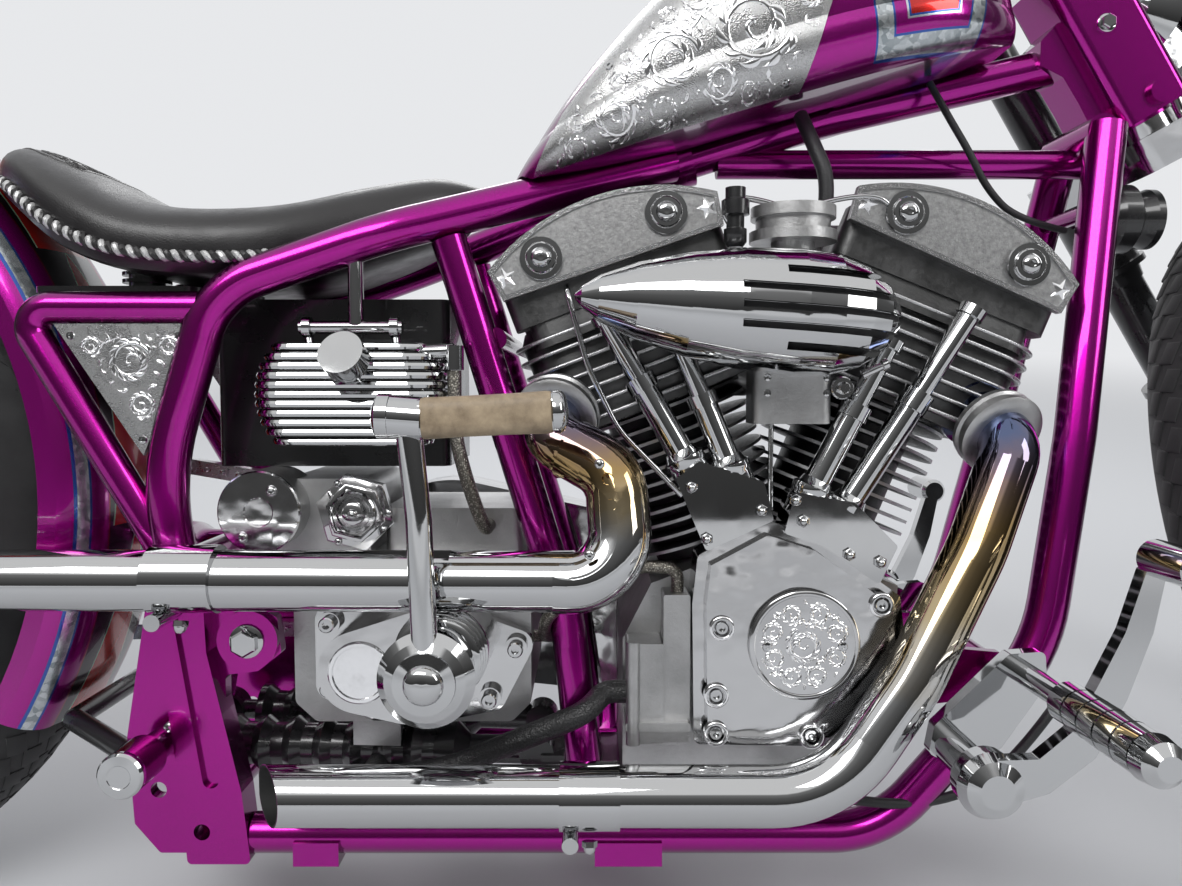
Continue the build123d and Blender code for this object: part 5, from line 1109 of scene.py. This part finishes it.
# Collars at the feet of the pushrod tubes, and clamps where the pipes leave the heads
# columns: foot x, foot z, top x, top z
PUSHRODS = [(-70, 402, -140, 526), (-36, 396, -82, 508), (20, 378, 86, 506), (46, 366, 150, 530)]
collar_shapes = []
for x0, z0, x1, z1 in PUSHRODS:
    foot, way = Vector((x0, -106, z0)), Vector((x1 - x0, 4, z1 - z0)).normalized()
    collar_shapes.append(lathe(foot, way, [
        (-3, 14), (-2, 15), (0, 15), (6, 15), (8, 16.5), (13, 16.5), (15, 14), (20, 12), (20, 9)], 36))
turned_piece("pushrod_collars", collar_shapes, "chrome")
LIFTER_NUTS = [(-72, 392), (-60, 352), (-18, 374), (14, 366), (50, 340), (74, 334), (8, 382)]
set_on("lifter_bolts", dome_nut, [((x, -122, z), RIGHT, 0.9) for x, z in LIFTER_NUTS], "chrome")
clamp_shapes = []
for start, after in (((168, -62, 450), (179, -112, 424)), ((-168, -60, 460), (-184, -124, 432))):
    port = Vector(start)
    way = (Vector(after) - port).normalized()
    clamp_shapes.append(lathe(port + way * 30, way, [
        (-4, 27), (-3, 33), (2, 34), (4, 32), (6, 32), (8, 34), (13, 34), (15, 31), (15, 25)], 56))
turned_piece("port_clamps", clamp_shapes, "cast_aluminium")

# Kick starter: ringed hub, cap and worn pedal sleeve
KICK = (-262.0, 268.0)
turned_piece("kick_rings", [lathe((KICK[0], -139.0 - 7 * index, KICK[1]), RIGHT, [
    (0, 33 - index), (1.5, 35.5 - index), (4.5, 35.5 - index), (6, 33 - index), (6, 20), (0, 20), (0, 33 - index)], 56)
    for index in range(4)], "chrome")
turned_piece("kick_cap", [lathe((KICK[0], -211, KICK[1]), RIGHT, [
    (0, 21), (2, 22), (4, 21.5), (5, 14), (8, 13), (10.5, 10), (11.5, 5), (11.8, 0.2)], 48)], "chrome")


def pedal_sleeve():
    """A rounded square sleeve, slightly waisted."""
    start, end = Vector((-263, -204, 447.5)), Vector((-174, -204, 452.0))
    along = (end - start).normalized()
    up = Vector((0, 0, 1))
    side = along.cross(up).normalized()
    up = side.cross(along)
    sections = [(0, 0.80), (0.015, 0.97), (0.05, 1.0), (0.3, 0.97), (0.7, 0.98), (0.95, 1.02), (0.985, 0.98), (1, 0.80)]
    half, count = 14.2, 32
    rings = []
    for share, size in sections:
        middle = start.lerp(end, share)
        ring = []
        for step in range(count):
            angle = 2 * math.pi * step / count
            c, s = math.cos(angle), math.sin(angle)
            c, s = math.copysign(abs(c) ** 0.6, c), math.copysign(abs(s) ** 0.6, s)
            ring.append(middle + side * c * half * size + up * s * half * size)
        rings.append(ring)
    return skinned(rings)


turned_piece("pedal_sleeve", [pedal_sleeve()], "worn_tan")
turned_piece("pedal_cap", [lathe((-175, -204, 452), (1, 0, 0.05), [
    (0, 12), (1, 14.5), (5, 14.8), (8, 13), (10, 9), (11, 0.2)], 40),
    lathe((-292, -204, 449), (1, 0, -0.03), [
        (-4, 8), (-2, 13), (0, 15.5), (8, 15.5), (9, 14), (27, 14), (29, 12)], 40)], "chrome")

# Saddle: a padded top over its skirt, edged with a twisted cord
# columns: x, half width, height of the edge, of the crown, and of the base
SADDLE_ROWS = 54
SADDLE = [(-656, 12, 648, 653, 643), (-646, 42, 643, 664, 634), (-616, 78, 632, 671, 614), (-560, 112, 594, 648, 577),
          (-496, 125, 572, 622, 557), (-407, 112, 571, 624, 557), (-340, 82, 587, 640, 572), (-283, 50, 608, 650, 593),
          (-246, 22, 630, 643, 622), (-238, 10, 636, 641, 630)]


def between(rows, share):
    """Smooth values between rows of a table, at a share of its length."""
    where = share * (len(rows) - 1)
    index = min(int(where), len(rows) - 2)
    t = where - index
    before, start = rows[max(index - 1, 0)], rows[index]
    end, after = rows[index + 1], rows[min(index + 2, len(rows) - 1)]
    values = []
    for a, b, c, d in zip(before, start, end, after):
        values.append(0.5 * (2 * b + (c - a) * t + (2 * a - 5 * b + 4 * c - d) * t * t
                             + (3 * b - a - 3 * c + d) * t ** 3))
    return values


def saddle_shape():
    """A dished top with rounded edges over a narrower base."""
    top_points = 22
    rings = []
    for row in range(SADDLE_ROWS + 1):
        x, half, edge, crown, base = between(SADDLE, row / SADDLE_ROWS)
        half = max(half, 4)
        ring = []
        for step in range(top_points + 1):
            angle = math.pi * (step / top_points - 0.5)
            c, s = math.cos(angle), math.sin(angle)
            dish = 5.0 * math.exp(-((x + 430) / 90) ** 2) * (c ** 3)
            ring.append((x, half * math.copysign(abs(s) ** 0.85, s), edge + (crown - edge) * max(c, 0) ** 0.62 - dish))
        under = [(0.985, edge - 3), (0.94, edge - 6), (0.90, base + 2), (0.84, base)]
        ring += [(x, share * half, z) for share, z in under] + [(x, 0, base)]
        ring += [(x, -share * half, z) for share, z in reversed(under)]
        rings.append(ring)
    return skinned(rings)


saddle = piece_from("saddle", closed_mesh("saddle", *saddle_shape()), "saddle_leather", "chassis")
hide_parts("seat")

edge_points = []
for row in range(2, 53, 2):
    x, half, edge, crown, base = between(SADDLE, row / SADDLE_ROWS)
    edge_points.append((x, -(half + 1.0), edge - 2.0))
saddle_cord = edge_points + [(-236, 0, 636)] + [(x, -y, z) for x, y, z in reversed(edge_points)] + [(-658, 0, 648)]
CORD = {"Step": 0.0016, "Pitch": 0.011, "Offset": 0.0024, "Thickness": 0.0027}
for name, phase, finish in (("saddle_cord_dark", 0.0, "saddle_leather"),
                            ("saddle_cord_light", math.pi, "silver_thread")):
    path = bpy.data.curves.new(name, "CURVE")
    path.dimensions = "3D"
    spline = path.splines.new("NURBS")
    spline.points.add(len(saddle_cord) - 1)
    for control, point in zip(spline.points, saddle_cord):
        control.co = (*(PARKED @ (Vector(point) / 1000)), 1.0)
    spline.order_u = 3
    spline.use_cyclic_u = True
    spline.resolution_u = 12
    carrier = bpy.data.objects.new(name, path)
    made = shaped_by(TWISTED_STRAND, carrier, {**CORD, "Phase": phase, "Finish": finishes[finish]})
    piece_from(name, made, finish, "chassis")

# Tooled inlay on the saddle's rear
saddle_tree = surface_of(saddle.data)


def saddle_top(u, v):
    hit, normal, _, _ = saddle_tree.ray_cast(Vector((u, v, 900)), Vector((0, 0, -1)))
    return (hit, normal) if hit is not None else None


inlay = [(-636, -34), (-600, -58), (-566, -62), (-556, 0), (-566, 62), (-600, 58), (-636, 34)]
engraving("saddle_tooling", scrolls(inlay, 5, [20, 17, 14, 11, 9, 7, 5, 4], 2.0) + outline_stroke(inlay, 2.2),
          saddle_top, 0.9, "saddle_leather")

# Cooling fins round the heads, below the rocker boxes
def oblong(half_length, half_width, corner, count=15):
    """Points round a rounded oblong."""
    points = []
    for quarter, (su, sv) in enumerate(((1, 1), (-1, 1), (-1, -1), (1, -1))):
        for step in range(count + 1):
            angle = math.pi / 2 * (quarter + step / count)
            points.append((su * (half_length - corner) + corner * math.cos(angle),
                           sv * (half_width - corner) + corner * math.sin(angle)))
    return points


def fin_plate(half_length, half_width, corner, thick):
    """A fin with a rounded rim, lying level."""
    levels = ((0.0, 6.0), (0.05, 1.2), (0.28, 0.2), (0.5, 0.0), (0.72, 0.2), (0.95, 1.2), (1.0, 6.0))
    return skinned([[(u, v, share * thick) for u, v in oblong(half_length - inset, half_width - inset, corner - inset)]
                    for share, inset in levels])


fin_head = head_of("head_fin", fin_plate(*HEAD_FIN, 3.6))
heads.append(fin_head)
HEAD_FIN_ROWS = [258.0 + 12.2 * index for index in range(7)]
fin_places = []
for lean_degrees in CYLINDER_LEANS:
    tilt = math.radians(lean_degrees)
    for up in HEAD_FIN_ROWS:
        fin_places.append((on_cylinder(lean_degrees, 0, up, 0), (math.sin(tilt), 0, math.cos(tilt)), 1.0,
                           (math.cos(tilt), 0, -math.sin(tilt))))
set_on("head_fins", fin_head, fin_places, "fin_cast")
core_shapes = []
for lean_degrees in CYLINDER_LEANS:
    rings = []
    for up, inset in ((252.0, 12.0), (262.0, 7.0), (336.0, 7.0), (344.0, 12.0)):
        rings.append([on_cylinder(lean_degrees, u, up, v) for u, v in oblong(
            HEAD_FIN[0] - inset, HEAD_FIN[1] - inset, HEAD_FIN[2] - inset)])
    core_shapes.append(skinned(rings))
# the cores between the fins take the same casting, darkened with painted shade
turned_piece("head_cores", core_shapes, "dark_cast_painted_shade")

# Oil tank: rounded level ribs over its bands
RIB_PITCH = 7.3
rib_paths = bpy.data.curves.new("oil_tank_ribs", "CURVE")
rib_paths.dimensions = "3D"
for index in range(11):
    height = (index - 5) * RIB_PITCH
    reach = math.sqrt(1 - (height / 44.0) ** 2)
    long, wide = 152.0 - 62 * (1 - reach), 62.0 * (0.35 + 0.65 * reach)
    loop = oblong(long / 2 - 1.6, wide / 2 - 1.6, wide / 2 - 2.6, 10)
    spline = rib_paths.splines.new("POLY")
    spline.points.add(len(loop) - 1)
    for control, (u, v) in zip(spline.points, loop):
        control.co = (*(PARKED @ (Vector((-338.0 + u, -92.0 + v, 463.0 + height)) / 1000)), 1.0)
    spline.use_cyclic_u = True
ribs = shaped_by(TWISTED_STRAND, bpy.data.objects.new("oil_tank_ribs", rib_paths), {
    "Step": 0.0025, "Pitch": 1.0, "Offset": 0.0, "Thickness": 0.0033, "Phase": 0.0, "Finish": finishes["chrome"]})
piece_from("oil_tank_ribs", ribs, "chrome", "chassis")

# Starter: a polished end disc and a ringed housing
gearbox_face = side_surface("gearbox", -1)


def starter_face(u, v, fallback=-90.0):
    found = gearbox_face(u, v)
    return found[0].y if found else fallback


disc_y, ring_y = starter_face(-414, 369), starter_face(-344, 365)
turned_piece("starter_disc", [lathe((-414, disc_y, 369), RIGHT, [
    (-6, 31), (0, 31.5), (2, 33.2), (5, 33.2), (6.2, 32), (6.4, 12), (5.6, 11), (5.6, 0.2)], 64)], "polished_aluminium")
turned_piece("starter_housing", [
    lathe((-344, ring_y, 365), RIGHT, [(-6, 33), (3, 33), (4, 31.5), (4, 0.2)], 6),
    lathe((-344, ring_y + 1, 365), RIGHT, [(3, 26), (8, 26), (9, 24.5), (9, 21), (6, 20), (6, 0.2)], 6),
    lathe((-344, ring_y, 365), RIGHT, [
        (4, 18), (8, 18), (9, 16.8), (9, 14), (6.5, 13), (6.5, 9.5), (11, 9), (12, 7), (12, 0.2)], 48)],
    "polished_aluminium")
set_on("starter_bolts", button_bolt, [((x, y, z), RIGHT, size) for x, y, z, size in (
    (-403, disc_y - 6, 386, 1.0), (-427, disc_y - 6, 349, 1.0), (-344, ring_y - 12, 365, 0.9),
    (-316, ring_y - 4, 365, 0.7), (-358, ring_y - 4, 389, 0.7), (-358, ring_y - 4, 341, 0.7))], "chrome")

# Lamps and plate
turned_piece("tail_lens", [lathe((-1358.5, 0, 645), (-1, 0, 0), [
    (-6, 27), (0, 27), (3, 25), (7, 19), (9, 10), (9.6, 0.2)], 48)], "red_glass")
turned_piece("headlamp_glass", [lathe((430, 0, 825), (1, 0, 0), [
    (-2, 66), (3, 66.5), (9, 60), (14, 45), (17, 24), (18, 0.2)], 64)], "lamp_glass", "steering", STEERED)


def plate_shape():
    """A blank plate with a raised rim."""
    x, low, high, half = -1365.2, 484.0, 570.0, 87.0
    levels = ((0.0, 0.0), (-1.4, 0.0), (-1.9, 0.7), (-1.9, 3.2), (-1.4, 3.8), (-1.4, 30.0))
    return skinned([[(x + depth, -half + inset, low + inset), (x + depth, half - inset, low + inset),
                     (x + depth, half - inset, high - inset), (x + depth, -half + inset, high - inset)]
                    for depth, inset in levels])


piece_from("number_plate", closed_mesh("number_plate", *plate_shape()), "plate_enamel", "chassis")
set_on("plate_bolts", button_bolt, [((-1366.6, side * 73, 540), (-1, 0, 0), 1.1) for side in (-1, 1)], "chrome")

# Tyre treads: slanted blocks over the crown
def tread_block(length, width, height):
    """A block with sloping sides, its x across the tyre."""
    return skinned([[(-length / 2 * size, -width / 2 * size, level), (length / 2 * size, -width / 2 * size, level),
                     (length / 2 * size, width / 2 * size, level), (-length / 2 * size, width / 2 * size, level)]
                    for level, size in ((-2.0, 1.0), (0.6 * height, 1.0), (height, 0.86))])


# columns: piece, axle x, axle z, crown radius, shoulder radius, shoulder y, rows, block, body, place
TREADS = [
    ("rear_tread", -915.0, 335.0, 335.0, 315.0, 50.0, (-44, -26, -9, 9, 26, 44), (15.0, 22.0), "rear_wheel", PARKED),
    ("front_tread", 628.0, 347.0, 347.0, 332.0, 34.0, (-26, -9, 9, 26), (13.0, 20.0), "front_wheel", STEERED)]
TREAD_HEIGHT = 1.6
for name, x, z, crown, shoulder, reach_y, rows, (wide, long), body, place in TREADS:
    block = head_of(name + "_block", tread_block(wide, long, TREAD_HEIGHT))
    bow = (reach_y ** 2 + (crown - shoulder) ** 2) / (2 * (crown - shoulder))
    places = []
    count = int(2 * math.pi * crown / (long + 6))
    for row_index, y in enumerate(rows):
        for step in range(count):
            angle = 2 * math.pi * (step + 0.5 * (row_index % 2)) / count
            radius = crown - bow + math.sqrt(bow ** 2 - y ** 2) - 0.6
            outward = Vector((math.cos(angle), 0, math.sin(angle)))
            lean_out = math.asin(y / bow)
            facing = outward * math.cos(lean_out) + Vector((0, math.sin(lean_out), 0))
            slant = 0.45 if y < 0 else -0.45
            tangent = Vector((-math.sin(angle), 0, math.cos(angle)))
            hint = Vector((0, 1, 0)) + tangent * slant
            places.append((outward * radius + Vector((x, y, z)), facing, 1.0, hint))
    set_on(name, block, places, "tyre_rubber", body, place)
    heads.append(block)

# Chain: side plates and rollers over the loop
CHAIN_PITCH = 15.875


def chain_link():
    """Two waisted side plates with their pins, its x along the chain."""
    shapes = []
    half = CHAIN_PITCH / 2
    for side in (-1, 1):
        outline = []
        for index in range(20):
            angle = 2 * math.pi * index / 20
            across_link = 7.3 * math.sin(angle) * (0.78 + 0.22 * abs(math.cos(angle)))
            outline.append((math.copysign(abs(math.cos(angle)) ** 0.7, math.cos(angle)) * (half + 5.5), across_link))
        shapes.append(skinned([[(u, side * y, v) for u, v in outline] for y in (7.2, 8.6)]))
        for end in (-1, 1):
            shapes.append(lathe((end * half, side * 8.4, 0), (0, side, 0), [(0, 2.6), (1.2, 2.6), (1.5, 2.0)], 10))
    return joined(shapes)


def chain_places():
    """Places of every second link along the loop of the drive chain."""
    far, near = Vector((-915.0, 335.0)), Vector((-292.0, 288.0))
    big, small = CHAIN_PITCH / (2 * math.sin(math.pi / 46)), CHAIN_PITCH / (2 * math.sin(math.pi / 23))
    span = near - far
    slope = math.acos((big - small) / span.length)
    heading = math.atan2(span.y, span.x)
    run_length = math.sqrt(span.length ** 2 - (big - small) ** 2)
    arcs = [(far, big, heading + slope, 2 * math.pi - 2 * slope), (near, small, heading - slope, 2 * slope)]

    def touch(centre, radius, angle):
        return centre + radius * Vector((math.cos(angle), math.sin(angle)))

    low, high = heading - slope, heading + slope
    pieces_of_loop = [("arc", arcs[0]), ("run", touch(far, big, low), touch(near, small, low)),
                      ("arc", arcs[1]), ("run", touch(near, small, high), touch(far, big, high))]
    total = big * arcs[0][3] + small * arcs[1][3] + 2 * run_length
    count = round(total / CHAIN_PITCH / 2)
    places = []
    for index in range(count):
        where = index * total / count
        for kind, *facts in pieces_of_loop:
            if kind == "arc":
                centre, radius, start, sweep = facts[0]
                if where <= radius * sweep:
                    angle = start + where / radius
                    point = centre + radius * Vector((math.cos(angle), math.sin(angle)))
                    tangent = (-math.sin(angle), 0, math.cos(angle))
                    break
                where -= radius * sweep
            else:
                start, end = facts
                if where <= (end - start).length:
                    point = start.lerp(end, where / (end - start).length)
                    way = (end - start).normalized()
                    tangent = (way.x, 0, way.y)
                    break
                where -= (end - start).length
        places.append(((point.x, 85.0, point.y), Vector(tangent).cross(Vector((0, 1, 0))), 1.0, tangent))
    return places


chain_head = head_of("chain_link", chain_link())
set_on("chain_links", chain_head, chain_places(), "brushed_steel")
heads.append(chain_head)

# Lines and small fittings round the engine
run_piece("steel_lines", [
    (2.4, [(-5, -92, 612), (-36, -96, 620), (-48, -96, 606), (-40, -96, 596)]),
    (2.2, [(30, -96, 612), (70, -98, 622), (92, -96, 604), (120, -80, 590)]),
    (2.0, [(-6, -96, 442), (-8, -104, 400), (-7, -104, 372)]),
], "chrome")
run_piece("black_lines", [
    (6.0, [(22, -60, 690), (30, -78, 660), (40, -86, 630), (36, -84, 600)]),
    (3.0, [(138, -30, 726), (150, -40, 696), (168, -44, 664), (184, -40, 636), (214, -30, 612), (262, -20, 604)]),
    (4.0, [(0, -120, 156), (64, -118, 140), (130, -112, 138), (190, -100, 160), (236, -86, 214)]),
], "hose_rubber")
turned_piece("banjo_fitting", [
    lathe((-36, -96, 578), UP, [
        (0, 6), (4, 9), (14, 9), (15, 7), (24, 7), (25, 11), (36, 11), (38, 8), (46, 8)], 24)], "black_metal")
set_on("pipe_nuts", dome_nut, [((x, -176, z), (0, -0.3, -1), 1.0) for x, z in ((-150, 139), (-442, 301))], "chrome")

# Carburettor: screws, a float drain and the throttle lever on the bowl
bowl_face = side_surface("carburettor", -1)
bowl_finds = [bowl_face(u, v) for u, v in ((-12, 476), (34, 476), (-12, 464), (34, 464))]
set_on("bowl_screws", slot_screw, [(found[0], RIGHT, 0.8) for found in bowl_finds if found], "chrome")
bowl_y = bowl_face(12, 470)[0].y
turned_piece("bowl_fittings", [
    lathe((46, bowl_y + 4, 468), RIGHT, [(0, 9), (5, 9), (6, 8), (6, 5), (11, 4.6), (12, 3.6), (12, 0.2)], 32),
    lathe((14, bowl_y + 3, 488), RIGHT, [(0, 7), (5, 7), (6, 6), (6, 0.2)], 6),
    lathe((62, bowl_y + 2, 478), (0.9, -0.1, 0.42), [(0, 4), (16, 3.4), (17, 5), (21, 5), (22, 3)], 20)],
    "polished_aluminium")

for head in heads:
    bpy.data.objects.remove(head)
